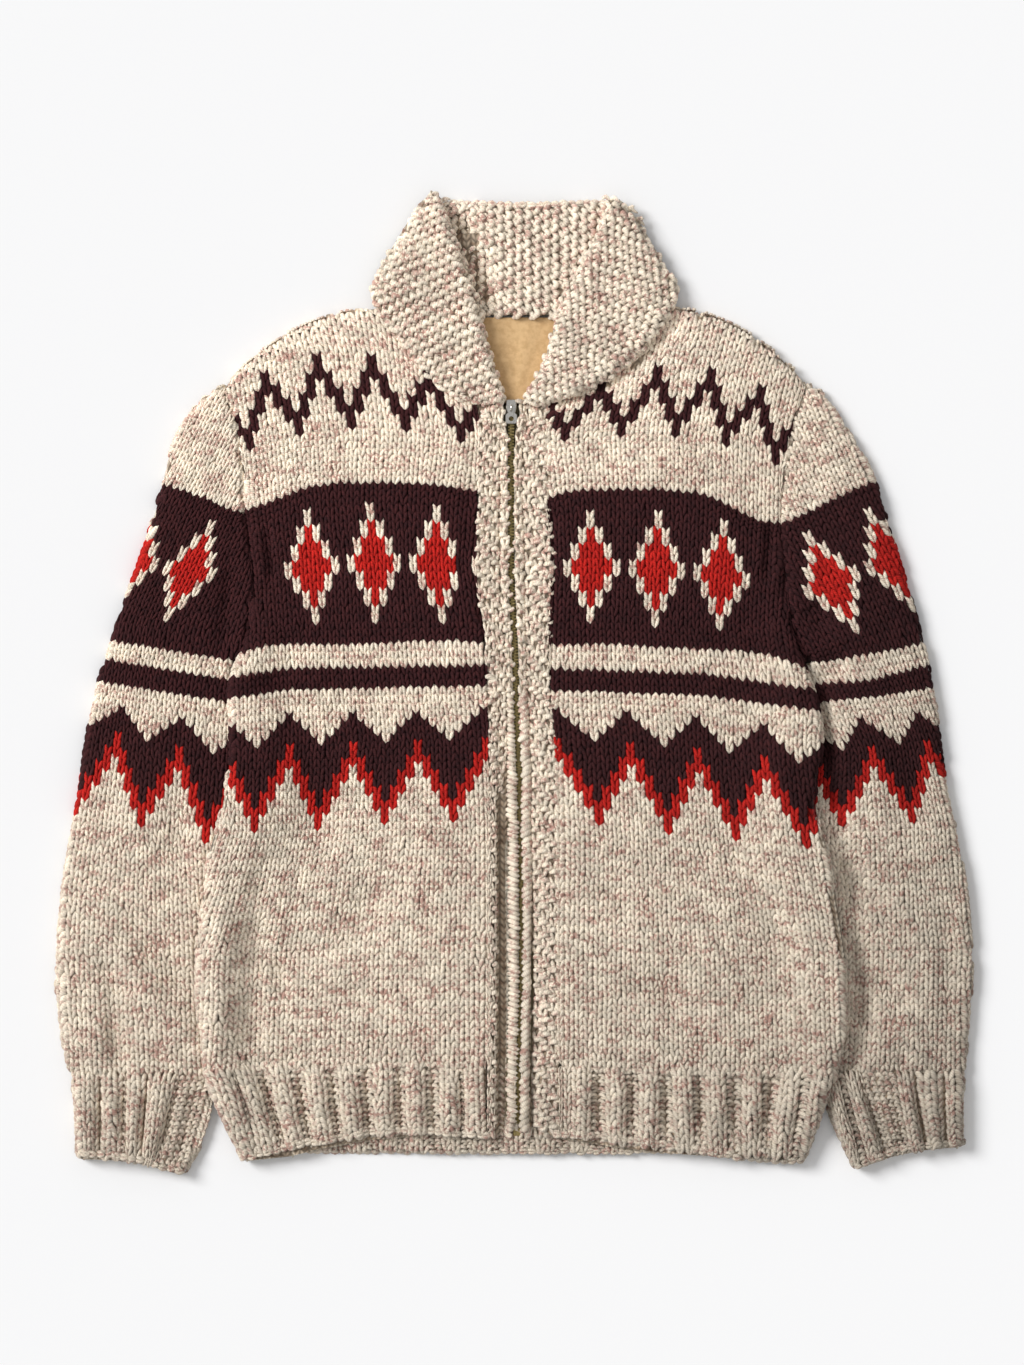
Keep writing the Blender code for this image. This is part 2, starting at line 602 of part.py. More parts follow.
def hem_stations(side, width):
    """Distances from the side edge of a hem's stations, and the height of the ribs there."""
    shares, heights = rib_columns(HEM_RIBS[side])
    lifted = LEAST_TUCK + TUCK_MARGIN
    kinks = (SIDE_FOLD, lifted, lifted + TUCK_FALL)
    distance = np.sort(np.concatenate(((1.0 - shares) * width, kinks)))
    return distance, np.interp(1.0 - distance / width, shares, heights)


def build_hem_front(side):
    """Ribbed hem of a front: ribs raised in its upper points, its underside plain."""
    rows = HEM_RIGHT_ROWS if side == "right" else HEM_LEFT_ROWS
    flat_from = LEAST_TUCK + TUCK_MARGIN + TUCK_FALL
    net, top_z, under_z = [], [], []
    for index, row in enumerate(rows):
        width = math.hypot(row.side_x - row.inner_x, row.side_y - row.inner_y)
        distance, rib = hem_stations(side, width)
        lift = hem_lift(row, distance)
        line = hem_line(row, distance)
        bow = HEM_EDGE_BOW[side] * (1.0 if index == len(rows) - 1 else 0.0)
        share = np.clip((distance - flat_from) / (width - flat_from), 0.0, 1.0)
        line[:, 1] += bow * 4.0 * share * (1.0 - share)
        net.append(line)
        start = RIB_START if index == 0 else 1.0
        top_z.append(lift + 2 * WALL + LAYER_GAP + start * rib)
        base = lift + WALL + LAYER_GAP
        base[0] -= TURNED
        under_z.append(base)
    net, top_z, under_z = np.array(net), np.array(top_z), np.array(under_z)
    net[0, :, 1] -= SEAM
    net[:, -1, 0] += -SEAM if side == "right" else SEAM
    top_z[:, 0] -= HEM_TURNED_TOP
    insets = (SEAM_ROUND, EDGE_ROUND, EDGE_ROUND, SEAM_ROUND)
    wall("hem_rib_" + side, net, top_z, under_z, insets, "oatmeal_wool")


def build_hem_back():
    """Hem of the back, from the back's own stations."""
    net, lifts, kept = [], [], {}
    rights = HEM_RIGHT_ROWS[:3] + [BACK_HEM_RIGHT_END]
    lefts = HEM_LEFT_ROWS[:3] + [BACK_HEM_LEFT_END]
    for side, row in (("right", rights[0]), ("left", lefts[0])):
        distance, _ = hem_stations(side, abs(row.side_x - row.inner_x))
        near = (distance >= SIDE_FOLD - 0.01) & (distance < BACK_HEM_FINE)
        coarse = (distance >= BACK_HEM_FINE) & (np.arange(len(distance)) % BACK_HEM_SKIP == 0)
        near[-1] = True
        kept[side] = near | coarse
    for right, left in zip(rights, lefts):
        halves = []
        for side, row in (("right", right), ("left", left)):
            width = math.hypot(row.side_x - row.inner_x, row.side_y - row.inner_y)
            distance = hem_stations(side, width)[0][kept[side]]
            halves.append((hem_line(row, distance), hem_lift(row, distance)))
        (right_line, right_lift), (left_line, left_lift) = halves
        middle = np.linspace(right_line[-1], left_line[-1], NECK_COLUMNS + 2)[1:-1]
        net.append(np.vstack((right_line, middle, left_line[::-1])))
        lifts.append(np.concatenate((right_lift, np.zeros(NECK_COLUMNS), left_lift[::-1])))
    net, lift = np.array(net), np.array(lifts)
    net[0, :, 1] -= SEAM
    wall("hem_rib_back", net, lift + WALL, lift, (SEAM_ROUND, EDGE_ROUND, 1.4, 1.4),
         "oatmeal_wool")


def tube_loops(line, height_out, crown, ribs=None):
    """Outer and inner loops of one section of a flattened tube, along a line of positions."""
    rib = np.zeros(len(line)) if ribs is None else ribs
    step = np.diff(line, axis=0)
    run = np.concatenate(((0.0,), np.cumsum(np.linalg.norm(step, axis=1))))

    def at(distance):
        return np.array([np.interp(distance, run, line[:, 0]),
                         np.interp(distance, run, line[:, 1])]).T

    total = run[-1]
    outer_run = np.clip(run, FOLD_ROUND, total - FOLD_ROUND)
    inner_run = np.clip(run, WALL + SLIT_END, total - WALL - SLIT_END)
    lower_run = np.clip(run, FOLD_ROUND_UNDER, total - FOLD_ROUND_UNDER)
    swell = crown * np.sin(np.pi * np.minimum(run / total / CROWN_SHARE, 1.0))
    shoulder = np.where((run < FOLD_ROUND) | (run > total - FOLD_ROUND), FOLD_DROP, 0.0)
    top = height_out + swell + rib - shoulder
    upper_xy, lower_xy, slit_xy = at(outer_run), at(lower_run), at(inner_run)
    fold = relief(upper_xy)
    slit_top = WALL + LAYER_GAP + swell
    outer = [(*line[0], FOLD_LOW * height_out), (*line[0], FOLD_HIGH * height_out)]
    outer += [(*xy, z) for xy, z in zip(upper_xy, top + fold)]
    outer += [(*line[-1], FOLD_HIGH * height_out), (*line[-1], FOLD_LOW * height_out)]
    outer += [(*xy, 0.0) for xy in lower_xy[::-1]]
    first, last = at(WALL - 0.2), at(total - WALL + 0.2)
    inner = [(*first, WALL + 0.12), (*first, WALL + 0.28)]
    inner += [(*xy, z) for xy, z in zip(slit_xy, slit_top)]
    inner += [(*last, WALL + 0.28), (*last, WALL + 0.12)]
    inner += [(*xy, WALL) for xy in slit_xy[::-1]]
    return outer, inner


def tube(name, loops, finish, free_end):
    """Open-ended tube wall from its sections, each an outer and an inner loop."""
    points, faces = [], []
    size = len(loops[0][0])
    for outer, inner in loops:
        points += outer + inner
    stride = 2 * size
    for s in range(len(loops) - 1):
        for side in (0, size):
            for i in range(size):
                j = (i + 1) % size
                a = s * stride + side + i
                b = s * stride + side + j
                faces += [(a, b, b + stride), (a, b + stride, a + stride)]
    for s, bulge in ((0, 0.0), (len(loops) - 1, free_end)):
        base = s * stride
        outer, inner = loops[s]
        if bulge:
            before = np.array(loops[s - 1][0])
            ahead = np.array(outer) - before
            ahead[:, 2] = 0.0
            ahead /= np.linalg.norm(ahead, axis=1)[:, None]
            middle = (np.array(outer) + np.array(inner)) / 2.0 + ahead * bulge
            start = len(points)
            points += [tuple(point) for point in middle]
            rims = [(base, start), (start, base + size)]
        else:
            rims = [(base, base + size)]
        for first, second in rims:
            for i in range(size):
                j = (i + 1) % size
                faces += [(first + i, first + j, second + j), (first + i, second + j, second + i)]
    return solid(name, points, faces, finish)


def build_sleeve(side):
    """Sleeve: its first section is the armhole, the others turn square to the arm."""
    rows = SLEEVE_RIGHT_ROWS if side == "right" else SLEEVE_LEFT_ROWS
    sign = -1.0 if side == "right" else 1.0
    hole = np.array([(row.right_x, row.right_y) if side == "right" else (row.left_x, row.left_y)
                     for row in BODY_ROWS[:ARMHOLE_ROWS]])
    hole[:, 0] += sign * 2.2 * SEAM
    chord = hole[-1] - hole[0]
    shares = ((hole - hole[0]) @ chord) / (chord @ chord)
    bulge = hole - hole[0] - np.outer(shares, chord)
    loops = [tube_loops(hole, TUBE, 0.0)]
    for index, row in enumerate(rows):
        fade = BOW_FADE[index + 1] if index + 1 < len(BOW_FADE) else 0.0
        start = np.array((row.outer_x, row.outer_y))
        end = np.array((row.inner_x, row.inner_y))
        line = start + np.outer(shares, end - start) + fade * bulge
        crown = SLEEVE_CROWN * min(1.0, (index + 1) / CROWN_ROWS)
        if index > len(rows) - CROWN_ROWS:
            left_over = (len(rows) - 1 - index) / CROWN_ROWS
            crown = CUFF_CROWN + (SLEEVE_CROWN - CUFF_CROWN) * left_over
        loops.append(tube_loops(line, TUBE, crown))
    tube("sleeve_" + side, loops, "oatmeal_wool", 0.0)


def build_cuff(side):
    """Ribbed cuff, with its ribs raised on the side that shows."""
    rows = CUFF_RIGHT_ROWS if side == "right" else CUFF_LEFT_ROWS
    shares, heights = rib_columns(CUFF_RIBS[side])
    loops = []
    for index, row in enumerate(rows):
        start = np.array((row.outer_x, row.outer_y))
        end = np.array((row.inner_x, row.inner_y))
        line = start + np.outer(shares, end - start)
        if index == len(rows) - 1:
            line[:, 1] += CUFF_EDGE_BOW * np.sin(np.pi * shares)
        strength = RIB_START if index == 0 else 1.0
        loops.append(tube_loops(line, TUBE, CUFF_CROWN, heights * strength))
    tube("cuff_" + side, loops, "oatmeal_wool", CUFF_BULGE)


def build_band(side):
    """Front band with a groove and a rolled edge beside the zip, over the zip's tape."""
    right = side == "right"
    seams = [(row.inner_right_y, row.inner_right_x) if right else (row.inner_left_y, row.inner_left_x)
             for row in BODY_ROWS[NECK_OPEN_ROWS - 1:]]
    seam_y, seam_x = np.array(seams[::-1]).T
    table = np.array([(row.y, row.right_edge if right else row.left_edge) for row in BAND_ROWS])
    stations = [row.y for row in BAND_ROWS[:2]] + list(seam_y[::-1][1:])
    stations += [row.y for row in BAND_ROWS if row.y < seam_y[0] - 5.0]
    shares = np.array([column.share for column in BAND_COLUMNS])
    net = []
    for y in stations:
        seam = np.interp(y, seam_y, seam_x) + (SEAM if right else -SEAM)
        edge = np.interp(y, table[::-1, 0], table[::-1, 1])
        net.append([(seam + share * (edge - seam), y) for share in shares])
    net = np.array(net)
    under_z = np.array([[WALL + column.under for column in BAND_COLUMNS]] * len(stations))
    top_z = np.array([[WALL + column.over for column in BAND_COLUMNS]] * len(stations))
    insets = (EDGE_ROUND, EDGE_ROUND, SEAM_ROUND, 1.2)
    if side == "left":
        net, under_z, top_z = net[:, ::-1], under_z[:, ::-1], top_z[:, ::-1]
        insets = (EDGE_ROUND, EDGE_ROUND, 1.2, SEAM_ROUND)
    wall("band_" + side, net, top_z, under_z, insets, "oatmeal_wool")


def build_zip_half(side):
    """One tape of the zip with its half of the chain, along the zip's centre line."""
    sign = -1.0 if side == "right" else 1.0
    floor = WALL + LAYER_GAP
    section = ((0.15, floor), (TAPE_HALF, floor), (TAPE_HALF, floor + TAPE),
               (TOOTH_HALF + 0.4, floor + TAPE), (TOOTH_HALF, TOOTH_TOP), (0.15, TOOTH_TOP))
    points, faces = [], []
    rows = [row for row in BAND_ROWS if row.y > ZIP_END_Y]
    size = len(section)
    for index, row in enumerate(rows):
        y = row.y + (0.6 if index == 0 else 0.0)
        points += [(row.zip_x + sign * x, y, z) for x, z in section]
    for s in range(len(rows) - 1):
        for i in range(size):
            j = (i + 1) % size
            a, b = s * size + i, s * size + j
            faces.append((a, b, b + size, a + size))
    faces.append(tuple(range(size)))
    faces.append(tuple(len(points) - size + i for i in range(size)))
    solid("zip_" + side, points, faces, "brass")


def build_lining():
    """Cotton facing on the inside of the back neck, where the collar leaves it in sight."""
    net = np.array([np.linspace((row.right_x, row.y), (row.left_x, row.y), LINING_COLUMNS)
                    for row in LINING_ROWS])
    under_z = np.full(net.shape[:2], WALL + LINING_LIFT)
    wall("lining", net, under_z + LINING, under_z, (0.5, 0.5, 0.5, 0.5), "tan_cotton")


def build_collar_back():
    """Back of the shawl collar, its two layers as one rounded solid."""
    net = np.array([np.linspace((row.right_x, row.y), (row.left_x, row.y), COLLAR_COLUMNS)
                    for row in COLLAR_BACK_ROWS])
    top_z = np.full(net.shape[:2], TUBE)
    top_z[-1] -= COLLAR_EDGE_DROP
    under_z = np.zeros(net.shape[:2])
    wall("collar_back", net, top_z, under_z, (SEAM_ROUND, 3.6, 3.0, 3.0), "oatmeal_wool")


def build_lapel(side):
    """Lapel: free edge on the front, thick rolled fold towards the neck opening."""
    rows = LAPEL_RIGHT_ROWS if side == "right" else LAPEL_LEFT_ROWS
    shares = np.array([column.share for column in LAPEL_COLUMNS])
    net = np.array([np.array((row.outer_x, row.outer_y))
                    + np.outer(shares, (row.fold_x - row.outer_x, row.fold_y - row.outer_y))
                    for row in rows])
    top_z, under_z = [], []
    for index, row in enumerate(rows):
        from_top = LAPEL_TOP_END[0] + LAPEL_TOP_END[1] * index
        from_low = LAPEL_LOW_END[0] + LAPEL_LOW_END[1] * (len(rows) - 1 - index)
        thin = min(1.0, from_top, from_low)
        tops = np.array([column.top for column in LAPEL_COLUMNS])
        tops = LAPEL_FLOOR + (tops - LAPEL_FLOOR) * thin
        tops[:2] -= LAPEL_EDGE_DROPS * LAPEL_DROOP * row.droop
        top_z.append(tops)
        if row.over_collar:
            under = [column.under_stand for column in LAPEL_COLUMNS]
            under[0] -= LAPEL_DROOP * row.droop
        else:
            under = [column.under_neck for column in LAPEL_COLUMNS]
        under_z.append(under)
    top_z, under_z = np.array(top_z), np.array(under_z)
    insets = (2.0, 1.6, 3.0, 3.0)
    wall("collar_" + side, net, top_z, under_z, insets, "oatmeal_wool")


def build_slider():
    """Slider: plate with two flanges beside the chain, and the bail that carries the pull."""
    profile = [(-SLIDER_HALF, FLANGE_FOOT), (-FLANGE_INNER, FLANGE_FOOT),
               (-FLANGE_INNER, SLIDER_PLATE), (FLANGE_INNER, SLIDER_PLATE),
               (FLANGE_INNER, FLANGE_FOOT), (SLIDER_HALF, FLANGE_FOOT),
               (SLIDER_HALF, SLIDER_FACE - PLATE_CHAMFER),
               (SLIDER_HALF - PLATE_BEVEL, SLIDER_FACE),
               (-SLIDER_HALF + PLATE_BEVEL, SLIDER_FACE),
               (-SLIDER_HALF, SLIDER_FACE - PLATE_CHAMFER)]
    length = SLIDER_TOP_Y - SLIDER_END_Y
    taper = ((0.0, 0.86), (0.12, 1.0), (0.6, 1.0), (0.88, 0.84), (1.0, 0.74))
    points, faces = [], []
    size = len(profile)
    for along, scale in taper:
        for x, z in profile:
            wide = x * scale if abs(x) > FLANGE_INNER + 0.1 else x
            points.append((ZIP_X + wide, SLIDER_TOP_Y - along * length, z))
    for s in range(len(taper) - 1):
        for i in range(size):
            j = (i + 1) % size
            a, b = s * size + i, s * size + j
            faces.append((a, b, b + size, a + size))
    faces.append(tuple(range(size)))
    faces.append(tuple(len(points) - size + i for i in range(size)))
    body = solid("zip_slider", points, faces, "zip_metal")

    bail = bpy.data.curves.new("bail_wire", "CURVE")
    bail.dimensions = "3D"
    bail.bevel_depth = BAIL_WIRE * MM
    bail.bevel_resolution = 2
    bail.use_fill_caps = True
    spline = bail.splines.new("POLY")
    foot = SLIDER_FACE - 0.6
    route = [(HINGE_Y - BAIL_RADIUS, foot)]
    steps = 10
    for step in range(steps + 1):
        angle = math.pi * step / steps
        route.append((HINGE_Y - BAIL_RADIUS * math.cos(angle),
                      HINGE_Z + BAIL_RADIUS * math.sin(angle)))
    route.append((HINGE_Y + BAIL_RADIUS, foot))
    spline.points.add(len(route) - 1)
    for point, (y, z) in zip(spline.points, route):
        point.co = (ZIP_X * MM, y * MM, z * MM, 1.0)
    wire = bpy.data.objects.new("bail_wire", bail)
    garment.objects.link(wire)
    bpy.context.view_layer.update()
    mesh = bpy.data.meshes.new_from_object(wire.evaluated_get(bpy.context.evaluated_depsgraph_get()))
    bm = bmesh.new()
    bm.from_mesh(mesh)
    bmesh.ops.remove_doubles(bm, verts=bm.verts, dist=1e-6)
    bmesh.ops.recalc_face_normals(bm, faces=bm.faces)
    bm.to_mesh(mesh)
    bm.free()
    bpy.data.objects.remove(wire, do_unlink=True)
    arch = bpy.data.objects.new("bail_cutter", mesh)
    cutters.objects.link(arch)
    arch.hide_render = True
    arch.display_type = "WIRE"
    join = body.modifiers.new("bail", "BOOLEAN")
    join.operation = "UNION"
    join.object = arch


def circle(centre_x, centre_y, radius, count):
    """Points of a round outline."""
    turns = [2.0 * math.pi * i / count for i in range(count)]
    return [(centre_x + radius * math.cos(a), centre_y + radius * math.sin(a)) for a in turns]


def build_pull():
    """Flat pull tab: an eye round the bail, and a plate with a round hole."""
    corner = 1.6
    eye_y = HINGE_Y - BAIL_RADIUS
    outline = []
    for i in range(9):
        angle = math.pi * i / 8
        outline.append((EYE_HALF * math.cos(angle), eye_y + EYE_HALF * 0.9 * math.sin(angle)))
    outline += [(-EYE_HALF, PULL_SHOULDER_Y), (-PULL_HALF + corner, PULL_SHOULDER_Y),
                (-PULL_HALF, PULL_SHOULDER_Y - corner)]
    for i in range(5):
        angle = math.pi + 0.5 * math.pi * i / 4
        outline.append((-PULL_HALF + corner + corner * math.cos(angle),
                        PULL_END_Y + corner + corner * math.sin(angle)))
    for i in range(5):
        angle = 1.5 * math.pi + 0.5 * math.pi * i / 4
        outline.append((PULL_HALF - corner + corner * math.cos(angle),
                        PULL_END_Y + corner + corner * math.sin(angle)))
    outline += [(PULL_HALF, PULL_SHOULDER_Y - corner), (PULL_HALF - corner, PULL_SHOULDER_Y),
                (EYE_HALF, PULL_SHOULDER_Y)]
    flat = bpy.data.curves.new("zip_pull_outline", "CURVE")
    flat.dimensions = "2D"
    flat.fill_mode = "BOTH"
    flat.extrude = 0.5 * PULL_THICK * MM
    for points in (outline, circle(0.0, PULL_HOLE_Y, PULL_HOLE, 16), circle(0.0, eye_y, EYE_HOLE, 10)):
        spline = flat.splines.new("POLY")
        spline.points.add(len(points) - 1)
        spline.use_cyclic_u = True
        for point, (x, y) in zip(spline.points, points):
            point.co = (x * MM, (y - HINGE_Y) * MM, 0.0, 1.0)
    shape = bpy.data.objects.new("zip_pull_outline", flat)
    garment.objects.link(shape)
    bpy.context.view_layer.update()
    mesh = bpy.data.meshes.new_from_object(shape.evaluated_get(bpy.context.evaluated_depsgraph_get()))
    bm = bmesh.new()
    bm.from_mesh(mesh)
    bmesh.ops.remove_doubles(bm, verts=bm.verts, dist=1e-6)
    bmesh.ops.recalc_face_normals(bm, faces=bm.faces)
    bm.to_mesh(mesh)
    bm.free()
    mesh.name = "zip_pull"
    mesh.materials.clear()
    mesh.materials.append(own_material("zip_pull", "zip_metal"))
    bpy.data.objects.remove(shape, do_unlink=True)
    pull = bpy.data.objects.new("zip_pull", mesh)
    pull.location = Vector((ZIP_X, HINGE_Y, HINGE_Z)) * MM
    garment.objects.link(pull)


def build_stop():
    """Metal stop that closes the lower end of the zip."""
    mesh = bpy.data.meshes.new("zip_stop")
    bm = bmesh.new()
    bmesh.ops.create_cube(bm, size=1.0)
    bmesh.ops.scale(bm, vec=Vector(STOP_SIZE) * MM, verts=bm.verts)
    bmesh.ops.bevel(bm, geom=bm.edges[:], offset=STOP_BEVEL * MM, segments=1, affect="EDGES")
    bm.to_mesh(mesh)
    bm.free()
    mesh.materials.append(own_material("zip_stop", "brass"))
    stop = bpy.data.objects.new("zip_stop", mesh)
    stop.location = Vector(STOP_CENTRE) * MM
    garment.objects.link(stop)


build_back()
for wearer_side in ("right", "left"):
    build_front(wearer_side)
    build_sleeve(wearer_side)
    build_cuff(wearer_side)
    build_hem_front(wearer_side)
    build_band(wearer_side)
    build_zip_half(wearer_side)
    build_lapel(wearer_side)
build_hem_back()
build_collar_back()
build_lining()
build_slider()
build_pull()
build_stop()
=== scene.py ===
import math
from collections import namedtuple
from functools import partial

import bmesh
import bpy
import numpy as np
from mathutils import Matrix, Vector
from mathutils.bvhtree import BVHTree


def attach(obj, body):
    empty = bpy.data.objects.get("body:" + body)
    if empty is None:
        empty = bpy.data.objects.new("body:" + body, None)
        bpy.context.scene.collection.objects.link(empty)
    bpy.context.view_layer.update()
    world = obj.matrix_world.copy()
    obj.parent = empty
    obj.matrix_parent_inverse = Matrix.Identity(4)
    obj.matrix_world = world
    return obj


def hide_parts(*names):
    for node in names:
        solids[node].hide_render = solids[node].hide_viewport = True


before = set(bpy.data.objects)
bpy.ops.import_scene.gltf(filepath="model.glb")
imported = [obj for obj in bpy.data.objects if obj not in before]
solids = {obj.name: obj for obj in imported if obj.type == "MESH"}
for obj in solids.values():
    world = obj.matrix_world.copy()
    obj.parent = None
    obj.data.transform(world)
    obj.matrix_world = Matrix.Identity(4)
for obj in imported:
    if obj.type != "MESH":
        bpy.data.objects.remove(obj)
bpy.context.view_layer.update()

scene = bpy.context.scene
MM = 0.001

# ---------------------------------------------------------------- Back panel
# Plain stocking stitch in bulky two-ply wool, with the same bands of motifs as the fronts.
# It lies face down on the surface, so only its edges and its inside at the neck are in sight.

WoolShade = namedtuple("WoolShade", "light dark fleck fleck_share")
WOOL_SHADES = {
    "cream": WoolShade((1.0, 0.905, 0.735), (0.66, 0.52, 0.39), (0.45, 0.212, 0.168), 0.85),
    "burgundy": WoolShade((0.043, 0.011, 0.0122), (0.021, 0.0066, 0.0078),
                          (0.075, 0.018, 0.017), 0.30),
    "red": WoolShade((0.55, 0.018, 0.012), (0.30, 0.009, 0.007), (0.20, 0.008, 0.01), 0.35),
}
YARNS = ("cream", "burgundy", "red")
STITCH_WIDE, STITCH_TALL = 7.6, 5.6         # of the wool on these needles, in millimetres

# Rows of the motifs, counted down from the shoulder.
BAND_ROWS = (17, 36)
DIAMOND_ROWS = (20, 33)
STRIPE_ROWS = (40, 42)
ZIGZAG_ROW = 46
LAST_DIAMOND = 24               # no diamond past this column of the body


def new_material(name):
    """A new material: the material, its node tree and its main shader."""
    material = bpy.data.materials.new(name)
    material.use_nodes = True
    return material, material.node_tree, material.node_tree.nodes["Principled BSDF"]


def group_of(name, inputs, outputs):
    """An empty shader node group with its sockets: (tree, its input node, its output node)."""
    tree = bpy.data.node_groups.new(name, "ShaderNodeTree")
    for socket, kind in inputs:
        tree.interface.new_socket(name=socket, in_out="INPUT", socket_type=kind)
    for socket, kind in outputs:
        tree.interface.new_socket(name=socket, in_out="OUTPUT", socket_type=kind)
    return tree, tree.nodes.new("NodeGroupInput"), tree.nodes.new("NodeGroupOutput")


def feed(tree, node, inputs):
    """Sets or links a node's inputs, named or numbered."""
    for key, value in inputs.items():
        socket = node.inputs[key]
        if isinstance(value, bpy.types.NodeSocket):
            tree.links.new(value, socket)
        else:
            socket.default_value = value
    return node


def math_node(tree, operation, *values):
    node = tree.nodes.new("ShaderNodeMath")
    node.operation = operation
    return feed(tree, node, dict(enumerate(values))).outputs[0]


def vector_node(tree, operation, inputs):
    node = tree.nodes.new("ShaderNodeVectorMath")
    node.operation = operation
    return feed(tree, node, inputs).outputs[0]


def noise_node(tree, vector, scale, detail, roughness):
    node = tree.nodes.new("ShaderNodeTexNoise")
    feed(tree, node, {"Vector": vector, "Scale": scale, "Detail": detail, "Roughness": roughness})
    return node.outputs["Fac"]


def ramp_between(tree, value, low, high):
    """0 below low, 1 above high, smooth between them."""
    node = tree.nodes.new("ShaderNodeMapRange")
    node.interpolation_type = "SMOOTHSTEP"
    feed(tree, node, {"Value": value, "From Min": low, "From Max": high})
    return node.outputs[0]


def blend_colour(tree, share, first, second):
    node = tree.nodes.new("ShaderNodeMix")
    node.data_type = "RGBA"
    for key, value in (("Factor", share), ("A", first), ("B", second)):
        socket = [s for s in node.inputs if s.name == key and s.enabled][0]
        if isinstance(value, bpy.types.NodeSocket):
            tree.links.new(value, socket)
        else:
            socket.default_value = value if key == "Factor" else (*value, 1.0)
    return [s for s in node.outputs if s.enabled][0]


def split_vector(tree, vector):
    """The three numbers of a vector."""
    return feed(tree, tree.nodes.new("ShaderNodeSeparateXYZ"), {0: vector}).outputs


def attribute_parts(tree, name):
    """The three numbers of a mesh attribute."""
    node = tree.nodes.new("ShaderNodeAttribute")
    node.attribute_name = name
    return split_vector(tree, node.outputs["Vector"])


def place_on_garment(tree):
    return tree.nodes.new("ShaderNodeTexCoord").outputs["Object"]


def relief(tree, strength, distance, height):
    node = tree.nodes.new("ShaderNodeBump")
    return feed(tree, node, {"Strength": strength, "Distance": distance,
                             "Height": height}).outputs[0]


def grouped(tree, group, inputs):
    node = tree.nodes.new("ShaderNodeGroup")
    node.node_tree = group
    return feed(tree, node, inputs).outputs


def motif_group():
    """The chart of the bands of motifs: how much burgundy and red there is at a stitch.

    Column and Row count stitches, from the front edge and from the shoulder.
    """
    tree, given, made = group_of(
        "knitting_chart",
        [("Column", "NodeSocketFloat"), ("Row", "NodeSocketFloat")],
        [("Burgundy", "NodeSocketFloat"), ("Red", "NodeSocketFloat")])
    do = partial(math_node, tree)
    column = do("FLOOR", do("ADD", given.outputs["Column"], 0.5))
    row = do("FLOOR", given.outputs["Row"])

    def between(value, low, high):
        """1 where low <= value <= high; both count whole stitches."""
        return do("MULTIPLY", do("GREATER_THAN", value, do("SUBTRACT", low, 0.5)),
                  do("LESS_THAN", value, do("ADD", high, 0.5)))

    def steps(period, offset):
        """Columns from the nearest peak, for peaks two periods apart."""
        return do("PINGPONG", do("ADD", column, offset), period)

    yoke = do("MULTIPLY", steps(3.0, 1.0), 2.0)
    yoke = between(row, yoke, do("ADD", yoke, 2.0))
    solid_band = do("ADD", between(row, *BAND_ROWS), between(row, *STRIPE_ROWS))
    off_centre = do("SUBTRACT", 4.0, steps(4.0, 0.0))
    tier = do("FLOOR", do("MULTIPLY", do("SUBTRACT", row, DIAMOND_ROWS[0]), 0.5))
    reach = do("SUBTRACT", 3.0, do("ABSOLUTE", do("SUBTRACT", tier, 3.0)))
    in_tiers = between(row, *DIAMOND_ROWS)
    rim = do("MULTIPLY", in_tiers, between(off_centre, reach, reach))
    heart = do("MULTIPLY", in_tiers, do("LESS_THAN", off_centre, do("SUBTRACT", reach, 0.5)))
    low = do("SUBTRACT", row, ZIGZAG_ROW)
    step = steps(4.0, 0.0)
    twice = do("MULTIPLY", step, 2.0)
    wave = between(low, step, do("ADD", twice, 3.0))
    flame = between(low, do("ADD", twice, 4.0), do("ADD", twice, 6.0))
    ground = do("SUBTRACT", 1.0, do("ADD", rim, heart))
    burgundy = do("ADD", yoke, do("MULTIPLY", solid_band, ground))
    feed(tree, made, {"Burgundy": do("ADD", burgundy, wave), "Red": do("ADD", heart, flame)})
    return tree


def fabric_material(name, charted):
    """The knit's ground, seen between the raised stitches and on the hidden sides.

    The place attribute counts stitches across and rows down, and is 1 beneath raised
    stitches; each stitch is a V. Its colour carries painted shade: darker between the legs
    of each V, and darker and warmer beneath the raised stitches.
    """
    material, tree, shader = new_material(name)
    do = partial(math_node, tree)
    column, row, under = attribute_parts(tree, "place")
    slope = do("ABSOLUTE", do("SUBTRACT", column, do("FLOOR", do("ADD", column, 0.5))))
    along = do("FRACT", do("MULTIPLY_ADD", slope, 1.3, row))
    leg = do("MULTIPLY", do("SINE", do("MULTIPLY", along, math.pi)),
             do("SINE", do("MULTIPLY", do("MULTIPLY_ADD", slope, 1.7, 0.12), math.pi)))
    place = place_on_garment(tree)
    fibre = noise_node(tree, place, 1500.0, 3.0, 0.7)
    cloud = noise_node(tree, place, 160.0, 3.0, 0.6)
    cream, wine, red = (WOOL_SHADES[yarn] for yarn in YARNS)
    colour = blend_colour(tree, ramp_between(tree, cloud, 0.42, 0.66), cream.light, cream.dark)
    if charted:
        chart = grouped(tree, CHART_GROUP, {"Column": column, "Row": row})
        colour = blend_colour(tree, chart["Burgundy"], colour, wine.light)
        colour = blend_colour(tree, chart["Red"], colour, red.light)
    # Painted shade: darker between the legs of each V, and darker and warmer where the ground lies
    # beneath raised stitches.
    shade = do("MULTIPLY", do("MULTIPLY_ADD", leg, 0.62, 0.34),
               do("MULTIPLY_ADD", under, -0.42, 1.0))
    painted_gap_tint = blend_colour(tree, do("MULTIPLY", under, 0.6), (1.0, 1.0, 1.0), (1.0, 0.80, 0.66))
    tint = vector_node(tree, "MULTIPLY", {0: colour, 1: painted_gap_tint})
    colour_with_painted_shade = vector_node(tree, "SCALE", {0: tint, "Scale": do(
        "MULTIPLY", shade, do("MULTIPLY_ADD", fibre, 0.5, 0.75))})
    height = do("ADD", leg, do("MULTIPLY", fibre, 0.3))
    feed(tree, shader, {"Base Color": colour_with_painted_shade, "Normal": relief(tree, 0.7, 0.0012, height),
                        "Roughness": 0.95, "Sheen Weight": 0.1, "Specular IOR Level": 0.15})
    return material


